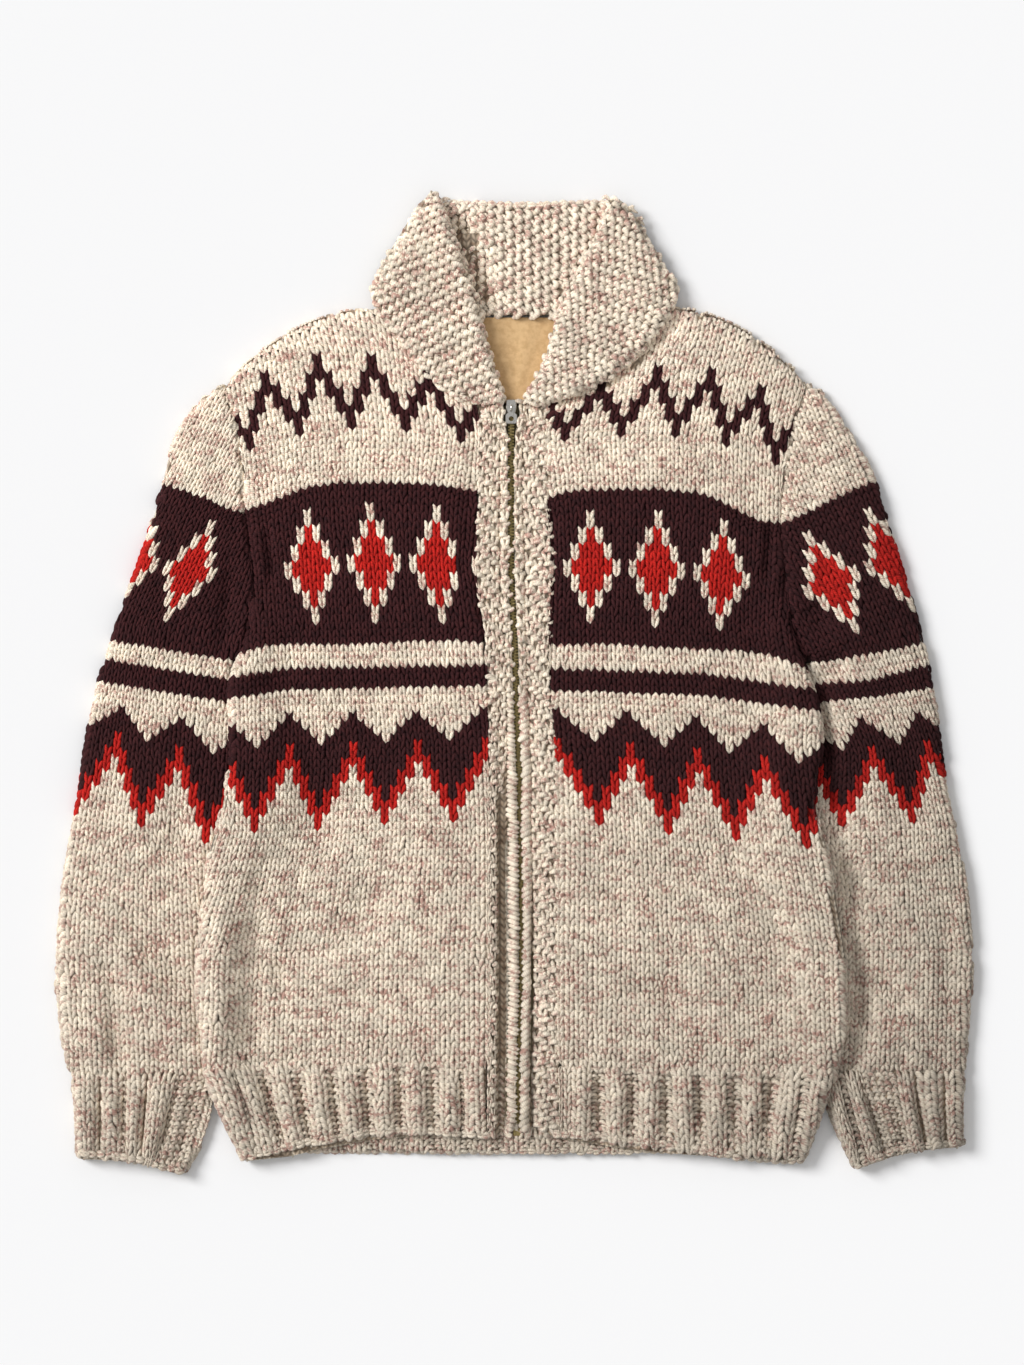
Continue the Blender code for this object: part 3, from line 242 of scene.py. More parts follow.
CHART_GROUP = motif_group()
CHARTED_KNIT = fabric_material("charted_knit", True)


def vertex_points(mesh):
    points = np.empty(len(mesh.vertices) * 3, np.float32)
    mesh.vertices.foreach_get("co", points)
    return points.reshape(-1, 3).astype(float)


def vertex_normals(mesh):
    return np.array([v.normal for v in mesh.vertices], float)


def evaluated_mesh(made):
    """A piece's mesh with its modifiers applied."""
    bpy.context.view_layer.update()
    return bpy.data.meshes.new_from_object(
        made.evaluated_get(bpy.context.evaluated_depsgraph_get()))


def write_places(mesh, places, name="place"):
    layer = mesh.attributes.get(name) or mesh.attributes.new(name, "FLOAT_VECTOR", "POINT")
    layer.data.foreach_set("vector", np.asarray(places, np.float32).ravel())


# A crease of the laid-out knit: its ends, half width and height in millimetres.
Crease = namedtuple("Crease", "x0 y0 x1 y1 half_width height")


def creases_of(*rows):
    return [Crease(*row) for row in rows]


def crease_height(points, creases):
    """Height of the creases at places in metres."""
    plan = points[..., :2] / MM
    height = np.zeros(plan.shape[:-1])
    for crease in creases:
        start = np.array((crease.x0, crease.y0))
        run = np.array((crease.x1, crease.y1)) - start
        along = np.clip(((plan - start) @ run) / (run @ run), 0.0, 1.0)
        away = np.linalg.norm(plan - start - along[..., None] * run, axis=-1)
        end = np.clip(2.2 - 4.4 * np.abs(along - 0.5), 0.35, 1.0)
        height += crease.height * end * np.exp(-(away / crease.half_width) ** 2)
    return height * MM


Surface = namedtuple("Surface", "tree corners normals creases")


def surface_of(mesh, points, normals, creases):
    """What the stitches of a piece are laid on: its triangles, with smooth normals."""
    mesh.calc_loop_triangles()
    index = np.empty(len(mesh.loop_triangles) * 3, np.int32)
    mesh.loop_triangles.foreach_get("vertices", index)
    index = index.reshape(-1, 3)
    tree = BVHTree.FromPolygons(points.tolist(), index.tolist())
    return Surface(tree, points[index], normals[index], creases)


def plain_count(points):
    """Columns and rows of a piece knitted straight down."""
    return np.stack((points[:, 0] / (STITCH_WIDE * MM), -points[:, 1] / (STITCH_TALL * MM),
                     points[:, 2]), 1)


SKY = 0.1                       # above everything, in metres
DOWN = Vector((0.0, 0.0, -1.0))
CROSS = ((0.0, 0.0), (1.0, 0.0), (-1.0, 0.0), (0.0, 1.0), (0.0, -1.0))
KnitBody = namedtuple("KnitBody", "piece surface")


def knitted_body(node, material, drawn_in, creases=(), levels=2, count=None, held_out=0.0025):
    """A wall of knitting on its solid's form: smoothed, and drawn in where stitches stand on it.

    Its underside keeps to the surface that the garment lies on. count tells the column and
    row of the knitting at places in plan. The surface that comes with it has no creases yet:
    they are added to it and to the stitches alike. Under a crease each layer moves by its
    share of the height, so that the layers stay in their order.
    """
    mesh = solids[node].data.copy()
    mesh.name = node + "_knit"
    shape = bmesh.new()
    shape.from_mesh(mesh)
    bmesh.ops.remove_doubles(shape, verts=shape.verts, dist=1e-6)
    bmesh.ops.join_triangles(shape, faces=shape.faces, angle_face_threshold=0.5,
                             angle_shape_threshold=1.2)
    shape.to_mesh(mesh)
    shape.free()
    made = bpy.data.objects.new(node + "_knit", mesh)
    scene.collection.objects.link(made)
    smooth = made.modifiers.new("smooth", "SUBSURF")
    smooth.levels = smooth.render_levels = levels
    edge = vertex_points(mesh)
    held = edge.copy()
    for _ in range(2):          # so that smoothing doesn't draw the outline in
        drawn = vertex_points(evaluated_mesh(made))[:len(edge)]
        held += np.clip(0.85 * (edge - drawn), -held_out, held_out)
        mesh.vertices.foreach_set("co", held.astype(np.float32).ravel())
        mesh.update()
    smoothed = evaluated_mesh(made)
    made.modifiers.clear()
    made.data = smoothed
    normals = vertex_normals(smoothed)
    points = vertex_points(smoothed)
    inward = drawn_in * np.clip(1.0 + normals[:, 2:], 0.0, 1.0)
    places = (count or plain_count)(points)
    # The third number is 1 on flat tops where raised stitches stand; there the ground's colour is
    # painted in shade.
    places[:, 2] = np.clip((normals[:, 2] - 0.75) * 6.0, 0.0, 1.0) * (drawn_in > 0.0)
    points -= normals * inward
    surface = surface_of(smoothed, points, normals, creases)
    lift = np.min([crease_height(points + (dx * 0.003, dy * 0.003, 0.0), creases)
                   for dx, dy in CROSS], axis=0)
    tops = [surface.tree.ray_cast(Vector((x, y, SKY)), DOWN)[0] for x, y, _ in points]
    tops = np.array([hit.z if hit else 0.0 for hit in tops])
    points[:, 2] += lift * np.clip(points[:, 2] / np.maximum(tops, points[:, 2] + 1e-6), 0.0, 1.0)
    points[:, 2] = np.maximum(points[:, 2], 0.0)
    smoothed.vertices.foreach_set("co", points.astype(np.float32).ravel())
    smoothed.materials.clear()
    smoothed.materials.append(material)
    smoothed.shade_smooth()
    smoothed.update()
    write_places(smoothed, places)
    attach(made, "garment")
    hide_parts(node)
    return KnitBody(made, surface)


KnitNet = namedtuple("KnitNet", "columns rows")


def stretch(x, known_x, known_y):
    """Straight-line interpolation that carries on past both ends."""
    known_x, known_y = np.asarray(known_x, float), np.asarray(known_y, float)
    if known_x[0] > known_x[-1]:
        known_x, known_y = known_x[::-1], known_y[::-1]
    found = np.interp(x, known_x, known_y)
    low = (known_y[1] - known_y[0]) / (known_x[1] - known_x[0])
    high = (known_y[-1] - known_y[-2]) / (known_x[-1] - known_x[-2])
    found = np.where(x < known_x[0], known_y[0] + (x - known_x[0]) * low, found)
    return np.where(x > known_x[-1], known_y[-1] + (x - known_x[-1]) * high, found)


def count_at(net, plan):
    """Column and row of the knitting at plan positions in metres."""
    x, y = plan[:, 0] / MM, plan[:, 1] / MM
    keys = sorted(net.columns)
    at = np.array([stretch(y, [p[1] for p in net.columns[k]], [p[0] for p in net.columns[k]])
                   for k in keys])
    column = np.array([stretch(x[i], at[:, i], keys) for i in range(len(x))])
    keys = sorted(net.rows)
    at = np.array([stretch(x, [p[0] for p in net.rows[k]], [p[1] for p in net.rows[k]])
                   for k in keys])
    row = np.array([stretch(y[i], at[:, i], keys) for i in range(len(y))])
    return np.stack((column, row, np.zeros(len(x))), 1)


def columns_at(levels, columns):
    """Columns of a net that are all told at the same levels."""
    return {column: tuple(zip(places, levels)) for column, places in columns.items()}


# Where columns and rows of the knitting run on the body, in millimetres; the fronts and the
# back share them.
BODY_NETS = {
    "right": KnitNet(
        columns_at((306.4, 264, 197.6, 144.8, 94.4, 48, -45.6, -119.2, -213.6, -305.6), {
            0: (-39.2, -33.6, -28.4, -33.6, -37.6, -30, -22.4, -20, -19.2, -20),
            4: (-65.6, -63.2, -56, -61.6, -62.4, -56.8, -51.2, -48, -51.2, -51.2),
            12: (-129.6, -121.6, -114.4, -116, -111.2, -110.4, -102.4, -104, -111.2, -112.8),
            20: (-196.8, -180.4, -171.2, -166.4, -162, -158.4, -153.6, -157.6, -171.2, -173.6),
            28: (-259.2, -239.2, -225.6, -219.2, -212, -208.8, -204.8, -207.2, -230.4, -233.6)}), {
        0: ((-219.2, 241.6), (-202.4, 249.6), (-158.4, 264.8), (-114.4, 264), (-70.4, 251.2),
            (-35.2, 239.2)),
        9: ((-212, 187.2), (-171.2, 199.2), (-128.8, 204.8), (-86.4, 203.2), (-42.4, 193.6),
            (-27.2, 189.6)),
        17: ((-213.6, 139.2), (-195.2, 145.6), (-176.8, 152.8), (-162.4, 158.4), (-139.2, 160.8),
             (-86.4, 160.8), (-60, 159.2), (-28, 153.6)),
        20: ((-215.2, 125.6), (-166.4, 139.2), (-116, 144.8), (-61.6, 143.2), (-31.2, 140)),
        34: ((-211.2, 44), (-158.4, 48.8), (-110.4, 49.6), (-56.8, 49.6), (-27.2, 48.8)),
        37: ((-215.2, 24.8), (-199.2, 30.4), (-180.8, 32), (-142.4, 31.2), (-106.4, 32.8),
             (-50.4, 35.2), (-24, 32.8)),
        40: ((-223.2, 5.6), (-180.8, 12.8), (-106.4, 13.6), (-24, 15.2)),
        43: ((-223.2, -11.2), (-180.8, -4.8), (-106.4, -3.2), (-24, -1.6)),
        46: ((-227.2, -27.2), (-177.6, -23.2), (-128, -22.4), (-77.6, -21.6), (-22.4, -18.4)),
        61: ((-239.2, -119.2), (-207.2, -117.6), (-157.6, -116.8), (-104, -111.2), (-48, -109.6),
             (-21.6, -109.6)),
        96: ((-247.2, -308.8), (-171.2, -306.4), (-114.4, -303.2), (-21.6, -302.4))}),
    "left": KnitNet(
        columns_at((306.4, 250.4, 197.6, 138.4, 92, 46.4, -23.2, -49.6, -125.6, -213.6, -305.6), {
            0: (48.8, 36.8, 25.6, 33.6, 36, 34.4, 32.8, 35.2, 37.6, 36.8, 36.8),
            4: (75.2, 64.8, 55.2, 60.8, 62.4, 60.8, 62.4, 65.6, 68.8, 67.2, 67.2),
            12: (136, 122.4, 115.2, 115.2, 114.4, 112.8, 117.6, 120.8, 124, 127.2, 128),
            20: (196.8, 180, 169.6, 168.8, 166.4, 164, 172.8, 172, 178.4, 187.2, 188.8),
            28: (259.2, 237.6, 222.4, 220.8, 219.2, 216.8, 228, 226.4, 232.8, 247.2, 249.6)}), {
        0: ((31.2, 236.8), (76, 243.2), (113.6, 255.2), (159.2, 254.4), (201.6, 237.6),
            (228.8, 224.8)),
        9: ((28.8, 193.6), (40, 195.2), (87.2, 199.2), (129.6, 198.4), (169.6, 191.2),
            (208.8, 176), (228.8, 167.2)),
        17: ((24.8, 148), (43.2, 154.4), (80, 156), (116.8, 156), (146.4, 152.8), (162.4, 148),
             (180.8, 137.6), (198.4, 129.6), (219.2, 128.8)),
        20: ((28.8, 135.2), (60.8, 138.4), (115.2, 138.4), (168.8, 131.2), (220.8, 112.8)),
        34: ((30.4, 49.6), (60.8, 49.6), (112.8, 46.4), (164, 44), (220.8, 34.4)),
        37: ((29.6, 31.2), (75.2, 32), (109.6, 29.6), (143.2, 28), (183.2, 26.4), (207.2, 22.4),
             (226.4, 15.2)),
        40: ((36.8, 12), (148.8, 8.8), (226.4, -2.4)),
        43: ((36.8, -5.6), (148.8, -8.8), (226.4, -19.2)),
        46: ((32.8, -20), (89.6, -21.6), (144, -25.6), (200.8, -32), (236.8, -39.2)),
        61: ((32.8, -108), (65.6, -111.2), (120.8, -119.2), (175.2, -124), (232.8, -130.4),
             (260.8, -133.6)),
        96: ((36, -306.4), (148.8, -308.8), (257.6, -312))})}
# Puckers below the armholes, the rise over the hem, and soft folds between them.
BODY_CREASES = {
    "right": creases_of(
        (-196, -127, -207, -178, 12, -6.4), (-207, -178, -214, -242, 12, -7),
        (-214, -242, -209, -298, 10, -6), (-189, -214, -187, -254, 5, -2.6),
        (-217, 142, -213, 97, 4, -3.1), (-213, 97, -217, 49, 4.4, -4.4),
        (-206, 134, -201, 70, 3.8, 2.2), (-198, 128, -193, 78, 3.6, -2.8),
        (-190, 120, -186, 84, 3.6, 1.8), (-222, 60, -232, 22, 8, -6),
        (-216, 214, -232, 178, 3.4, -2.5), (-198, -138, -190, -210, 9, 2.4),
        (-197, -223, -184, -238, 7, -3.3), (-107, -166, -155, -218, 14, -3),
        (-135, -142, -171, -174, 12, 2.2), (-67, -134, -95, -198, 14, 2),
        (-235, -150, -239, -292, 8, 4.4), (-171, -263, -59, -278, 12, 2.1),
        (-179, -242, -107, -254, 10, -2), (-147, 162, -75, 170, 16, 1.5),
        (-171, -86, -139, -142, 12, -1.5)),
    "left": creases_of(
        (137, 300, 123, 280, 4.6, -3.6), (123, 280, 103, 260.5, 4.6, -3.8),
        (103, 260.5, 83, 243.5, 4.6, -3.8), (83, 243.5, 64, 234, 4.6, -3.8),
        (64, 234, 34, 224, 4.6, -3.4), (216, 142, 219, 88, 4, -3.8),
        (206, 132, 202, 84, 3.6, -2.8), (198, 126, 195, 90, 3.6, 1.8),
        (211, 112, 209, 70, 3.6, 2), (219, 88, 226, 40, 5, -5), (228, 20, 236, -20, 5, -3.6),
        (73, -158, 89, -182, 9, -3), (113, -226, 133, -270, 10, -3),
        (149, -142, 181, -222, 14, 2.1), (205, -158, 221, -246, 11, -2.7),
        (243, -94, 259, -174, 6, 3.6), (259, -174, 266, -302, 6, 3.9),
        (69, -271, 213, -287, 12, 2.1), (85, -242, 149, -254, 10, -1.8),
        (69, 162, 149, 164, 16, 1.5), (166, -94, 182, -150, 12, -1.8))}


def without_diamonds(places, last_diamond):
    """No diamonds past a column: there the ground takes the burgundy between two of them."""
    beyond = ((places[:, 1] > BAND_ROWS[0] - 1) & (places[:, 1] < BAND_ROWS[1] + 1)
              & (places[:, 0] > last_diamond))
    places[beyond, 0] = last_diamond
    return places


def body_count(points):
    """Column and row at places on the body, from the net of whichever side is nearer."""
    sides = (count_at(BODY_NETS[side], points) for side in ("right", "left"))
    return without_diamonds(np.where(points[:, :1] < 0.0, *sides), LAST_DIAMOND)


back = knitted_body("back", CHARTED_KNIT, 0.0, BODY_CREASES["right"] + BODY_CREASES["left"],
                    levels=1, count=body_count)


# ---------------------------------------------------------------- Fronts
# The two fronts, each cast on at the hem and knitted up to the shoulder, with a zigzag on the
# yoke, a burgundy band of diamonds, a stripe and a zigzag edged in red below it.

def twisted_yarn_group():
    """Two plies turned round each other, one of them heathered: colour and height.

    The strand attribute holds the distance along the yarn in millimetres, the place across
    it from -1 to 1, and a number of the stitch's own. The colour carries painted shade in
    the grooves of the twist and on the strand's sides, and a painted fall-off of the light
    across the garment.
    """
    tree, given, made = group_of(
        "two_ply_yarn",
        [("Light Ply", "NodeSocketColor"), ("Dark Ply", "NodeSocketColor"),
         ("Fleck", "NodeSocketColor"), ("Fleck Share", "NodeSocketFloat")],
        [("Color", "NodeSocketColor"), ("Height", "NodeSocketFloat")])
    do = partial(math_node, tree)
    place = place_on_garment(tree)
    along, across, own = attribute_parts(tree, "strand")
    turn = do("MULTIPLY_ADD", across, 0.34, do("DIVIDE", along, 3.6))
    turn = do("ADD", turn, do("MULTIPLY", own, 7.0))
    wave = do("SINE", do("MULTIPLY", turn, 2.0 * math.pi))
    ply = do("MULTIPLY_ADD", wave, 0.5, 0.5)
    groove = do("POWER", do("ABSOLUTE", wave), 0.6)
    lengthwise = feed(tree, tree.nodes.new("ShaderNodeCombineXYZ"), {
        0: do("MULTIPLY_ADD", own, 31.0, do("DIVIDE", along, 5.5)),
        1: do("MULTIPLY_ADD", wave, 0.25, do("MULTIPLY", across, 0.8)),
        2: do("MULTIPLY", own, 17.0)}).outputs[0]
    streak = noise_node(tree, lengthwise, 1.0, 2.0, 0.6)
    courses = vector_node(tree, "MULTIPLY", {0: place, 1: (52.0, 120.0, 90.0)})
    cloud = noise_node(tree, courses, 1.0, 3.0, 0.6)
    fibre = noise_node(tree, place, 1900.0, 3.0, 0.7)
    fleck = do("MULTIPLY", ramp_between(tree, streak, 0.45, 0.56),
               do("MULTIPLY_ADD", ramp_between(tree, cloud, 0.38, 0.62), 0.8, 0.2))
    fleck = do("MULTIPLY", fleck, given.outputs["Fleck Share"])
    shade = do("MULTIPLY", ramp_between(tree, streak, 0.52, 0.36),
               do("SUBTRACT", 1.0, do("MULTIPLY", ply, 0.4)))
    two = blend_colour(tree, do("MULTIPLY", shade, 0.75),
                       given.outputs["Light Ply"], given.outputs["Dark Ply"])
    heathered = blend_colour(tree, fleck, two, given.outputs["Fleck"])
    # Painted shade: the colour is darker in the grooves of the twist and on the strand's sides,
    # where plies and neighbouring strands would shade each other; a random tone for each stitch
    # follows.
    painted_crevice_shade_and_tone = do("MULTIPLY_ADD", groove, 0.30, 0.74)
    strand_side_shade_mask = do("POWER", do("ABSOLUTE", across), 2.5)
    painted_crevice_shade_and_tone = do("MULTIPLY", painted_crevice_shade_and_tone, do("MULTIPLY_ADD", strand_side_shade_mask, -0.42, 1.0))
    one = do("FRACT", do("MULTIPLY", own, 13.7))
    painted_crevice_shade_and_tone = do("MULTIPLY", painted_crevice_shade_and_tone, do("MULTIPLY_ADD", one, 0.30, 0.85))
    fuzz = do("MULTIPLY_ADD", fibre, 0.5, 0.75)
    x, y, _ = split_vector(tree, place)
    # Painted light: the colour is brighter towards the upper left, where the light comes from, and
    # dimmer at the bottom, by the hem and cuffs, and towards both sides; broad random blotches of
    # tone are laid over it.
    painted_light_falloff_and_mottle = do("MULTIPLY_ADD", x, -0.45, do("MULTIPLY_ADD", do("MINIMUM", y, 0.24), 0.55, 1.10))
    low = do("MAXIMUM", do("SUBTRACT", -0.28, y), 0.0)
    painted_light_falloff_and_mottle = do("MULTIPLY_ADD", low, -1.35, painted_light_falloff_and_mottle)
    painted_light_falloff_and_mottle = do("MULTIPLY_ADD", do("POWER", do("ABSOLUTE", x), 2.0), -0.9, painted_light_falloff_and_mottle)
    painted_light_falloff_and_mottle = do("MULTIPLY_ADD", noise_node(tree, place, 14.0, 2.0, 0.5), 0.22,
              do("SUBTRACT", painted_light_falloff_and_mottle, 0.11))
    value = do("MULTIPLY", do("MULTIPLY", painted_crevice_shade_and_tone, fuzz), painted_light_falloff_and_mottle)
    colour_with_painted_shade = vector_node(tree, "SCALE", {0: heathered, "Scale": value})
    height = do("ADD", do("MULTIPLY", groove, 0.6), do("MULTIPLY", fibre, 0.55))
    feed(tree, made, {"Color": colour_with_painted_shade, "Height": height})
    return tree


YARN_GROUP = twisted_yarn_group()


def wool_material(yarn):
    """Wool strands of one colour: matt and fuzzy, with the twist of the yarn in relief."""
    shade = WOOL_SHADES[yarn]
    material, tree, shader = new_material(yarn + "_wool")
    spun = grouped(tree, YARN_GROUP, {
        "Light Ply": (*shade.light, 1.0), "Dark Ply": (*shade.dark, 1.0),
        "Fleck": (*shade.fleck, 1.0), "Fleck Share": shade.fleck_share})
    feed(tree, shader, {
        "Base Color": spun["Color"], "Normal": relief(tree, 0.8, 0.0005, spun["Height"]),
        "Roughness": 0.92, "Specular IOR Level": 0.2,
        "Sheen Weight": 0.20 if yarn == "cream" else 0.0, "Sheen Roughness": 0.5,
        "Sheen Tint": (*[min(1.0, 0.3 + v) for v in shade.light], 1.0)})
    return material


WOOL = {yarn: wool_material(yarn) for yarn in YARNS}

Strand = namedtuple("Strand", "points facets strand")
ARC = 4             # points over a strand, from one side to the other


def length_along(points):
    """How far each point of a line is from its start."""
    return np.concatenate(((0.0,), np.cumsum(np.linalg.norm(np.diff(points, axis=0), axis=1))))


def strand_shape(path, half_width, height):
    """A short piece of yarn, open underneath, along a path of (across, up, out) points.

    across and up are shares of the stitch, out, half_width and height are millimetres;
    half_width is turned into shares of a stitch 7.6 by 6 mm.
    """
    path = np.array(path, float)
    size = np.array((7.6, 6.0))
    run = np.gradient(path[:, :2] * size, axis=0)
    run /= np.linalg.norm(run, axis=1, keepdims=True)
    side = np.stack((run[:, 1], -run[:, 0]), 1) / size
    length = length_along(path[:, :2] * size)
    points, told = [], []
    for i, (across, up, out) in enumerate(path):
        for k in range(ARC):
            turn = math.pi * (k / (ARC - 1.0))
            aside = -math.cos(turn) * half_width[i]
            points.append((across + side[i, 0] * aside, up + side[i, 1] * aside,
                           out + (0.15 + math.sin(turn)) * height[i] - 0.4))
            told.append((length[i], -math.cos(turn), 0.0))
    facets = [(i * ARC + k, (i + 1) * ARC + k, (i + 1) * ARC + k + 1, i * ARC + k + 1)
              for i in range(len(path) - 1) for k in range(ARC - 1)]
    return Strand(np.array(points), np.array(facets), np.array(told))


def both(first, second):
    """Two strands as one shape."""
    return Strand(np.vstack((first.points, second.points)),
                  np.vstack((first.facets, second.facets + len(first.points))),
                  np.vstack((first.strand, second.strand + (0.0, 0.0, 0.37))))


def mirrored(strand):
    points = strand.points * (-1.0, 1.0, 1.0)
    return Strand(points, strand.facets[:, ::-1], strand.strand * (1.0, -1.0, 1.0))


# A plain stitch: two legs that meet in a V. Its axes are across its column, up its wale and
# out of the fabric.
LEG = strand_shape([(0.05, -0.86, 0.15), (0.15, -0.50, 0.62), (0.28, -0.06, 0.70),
                    (0.36, 0.36, 0.30), (0.36, 0.74, -0.55)],
                   [0.80, 1.75, 2.00, 1.75, 0.85], [0.9, 1.9, 2.15, 1.8, 0.8])
KNIT = both(LEG, mirrored(LEG))


def smooth_normals(surface, faces, places):
    """Normals at places on the given triangles, blended from their corners."""
    a, b, c = (surface.corners[faces, i] for i in range(3))
    ab, ac, ap = b - a, c - a, places - a
    d00, d01, d11 = (ab * ab).sum(1), (ab * ac).sum(1), (ac * ac).sum(1)
    d20, d21 = (ap * ab).sum(1), (ap * ac).sum(1)
    scale = np.maximum(d00 * d11 - d01 * d01, 1e-18)
    v = (d11 * d20 - d01 * d21) / scale
    w = (d00 * d21 - d01 * d20) / scale
    share = np.clip(np.stack((1.0 - v - w, v, w), 1), 0.0, 1.0)
    normal = (surface.normals[faces] * share[:, :, None]).sum(1)
    return normal / np.maximum(np.linalg.norm(normal, axis=1, keepdims=True), 1e-9)


def pile_surface():
    """All the pieces as they lie, to find what is covered."""
    points, faces, start = [], [], 0
    for solid in solids.values():
        points += [v.co[:] for v in solid.data.vertices]
        faces += [[start + i for i in face.vertices] for face in solid.data.polygons]
        start = len(points)
    return BVHTree.FromPolygons(points, faces)


PILE = pile_surface()


def height_of_pile(x, y):
    hit = PILE.ray_cast(Vector((x, y, SKY)), DOWN)[0]
    return hit.z if hit else 0.0


# How a stitch's corner lies on its piece.
ON_PIECE, ROUND_EDGE, AT_SEAM, OFF_PIECE = 1.0, 0.9, 0.5, 0.0
FEEL = 0.003                    # how far past an edge the pile is felt, in metres
LOWEST = 0.0008                 # and the least height of a stitch


def lay_on(surface, plan, edge_height, close=0.0045, most=0.016, overlap=0.0028):
    """Points and normals on a piece under plan positions (metres), and whether each holds.

    A point past a free edge goes down round it; one past a seam is drawn back to the seam.
    Seams are closed over: the point lies as high as the knitting on both sides of it.
    """
    shape = plan.shape[:-1]
    flat = plan.reshape(-1, 2)
    places, faces = np.zeros((len(flat), 3)), np.zeros(len(flat), int)
    state, raised = np.full(len(flat), ON_PIECE), np.zeros(len(flat))
    for i, (x, y) in enumerate(flat):
        hit, _, face, _ = surface.tree.ray_cast(Vector((x, y, SKY)), DOWN)
        if hit is None:
            near, _, face, _ = surface.tree.find_nearest(Vector((x, y, edge_height)))
            past = math.hypot(x - near.x, y - near.y)
            away = Vector((x - near.x, y - near.y, 0.0)).normalized()
            beyond = height_of_pile(near.x + away.x * FEEL, near.y + away.y * FEEL)
            if near.z - past > beyond + 0.0012 and past < most:
                lower = near + away * FEEL - Vector((0, 0, past))
                hit, _, face, _ = surface.tree.find_nearest(lower)
                state[i] = ROUND_EDGE
            else:
                hit = near + away * min(past, overlap if abs(away.y) > 0.7 else 0.0006)
                state[i] = OFF_PIECE if past > 0.006 else AT_SEAM
        open_above = height_of_pile(hit.x, hit.y) < hit.z + 0.0015
        if close and open_above and state[i] in (ON_PIECE, AT_SEAM):
            for dx, dy in ((1, 0), (0, 1), (0.7, 0.7), (0.7, -0.7)):
                dx, dy = dx * close, dy * close
                fill = min(height_of_pile(hit.x + dx, hit.y + dy),
                           height_of_pile(hit.x - dx, hit.y - dy)) - hit.z
                raised[i] = max(raised[i], min(fill, 0.004))
        places[i], faces[i] = hit, face
    normals = smooth_normals(surface, faces, places)
    lift = crease_height(places, surface.creases)
    slope = np.stack([(crease_height(places + step, surface.creases) - lift) / 0.0005
                      for step in ((0.0005, 0.0, 0.0), (0.0, 0.0005, 0.0))], 1)
    level = np.clip(normals[:, 2], 0.0, 1.0)
    raised *= np.clip(1.0 + lift / 0.0015, 0.0, 1.0)
    places[:, 2] = np.maximum(places[:, 2] + raised + lift * level, LOWEST)
    normals[:, 2] += np.clip(raised / 0.0008, 0.0, 3.0)
    normals[:, :2] -= slope * level[:, None]
    normals /= np.linalg.norm(normals, axis=1, keepdims=True)
    return (places.reshape(*shape, 3), normals.reshape(*shape, 3), state.reshape(shape))


def round_edge(state):
    """Which cells of a net go down round a free edge."""
    free = state == ROUND_EDGE
    return free[:-1, :-1] | free[1:, :-1] | free[:-1, 1:] | free[1:, 1:]


def held_by_corners(state):
    """Which cells of a net have enough of their corners on the piece."""
    return (state[:-1, :-1] + state[1:, :-1] + state[:-1, 1:] + state[1:, 1:]) > 1.4


def cell_middles(corners):
    return (corners[:-1, :-1] + corners[1:, 1:]) / 2.0


def cell_widths(corners):
    return np.linalg.norm(corners[:-1, 1:] - corners[:-1, :-1], axis=-1)


def between_lines(lines, key, along, run):
    """Value at a key between lines, each a table of (along, value), for arrays of both."""
    keys = sorted(lines)
    values = np.array([stretch(along, [p[run] for p in lines[k]], [p[1 - run] for p in lines[k]])
                       for k in keys])
    index = np.clip(np.searchsorted(keys, key) - 1, 0, len(keys) - 2)
    low, high = np.take(keys, index), np.take(keys, index + 1)
    share = (key - low) / (high - low)
    first = np.take_along_axis(values, index[None], 0)[0]
    second = np.take_along_axis(values, index[None] + 1, 0)[0]
    return first + share * (second - first)


def plan_of(net, column, row):
    """Plan position in metres of a column and a row of the knitting."""
    x = between_lines(net.columns, column, np.zeros_like(column, float), 1)
    for _ in range(14):
        y = between_lines(net.rows, row, x, 0)
        x = between_lines(net.columns, column, y, 1)
    return np.stack((x, y), -1) * MM


def mesh_of(name, points, facets, told, shades):
    """A smooth mesh of four-sided facets with the strand attribute and a yarn for each facet."""
    points[:, 2] = np.maximum(points[:, 2], 0.0003)     # yarn presses flat on the surface
    mesh = bpy.data.meshes.new(name)
    mesh.vertices.add(len(points))
    mesh.vertices.foreach_set("co", points.astype(np.float32).ravel())
    mesh.loops.add(facets.size)
    mesh.loops.foreach_set("vertex_index", facets.astype(np.int32).ravel())
    mesh.polygons.add(len(facets))
    mesh.polygons.foreach_set("loop_start", np.arange(0, facets.size, 4, dtype=np.int32))
    mesh.polygons.foreach_set("material_index", shades.astype(np.int32))
    mesh.polygons.foreach_set("use_smooth", np.ones(len(facets), bool))
    mesh.update(calc_edges=True)
    write_places(mesh, told, "strand")
    for material in WOOL.values():
        mesh.materials.append(material)
    made = bpy.data.objects.new(name, mesh)
    scene.collection.objects.link(made)
    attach(made, "garment")
    return made


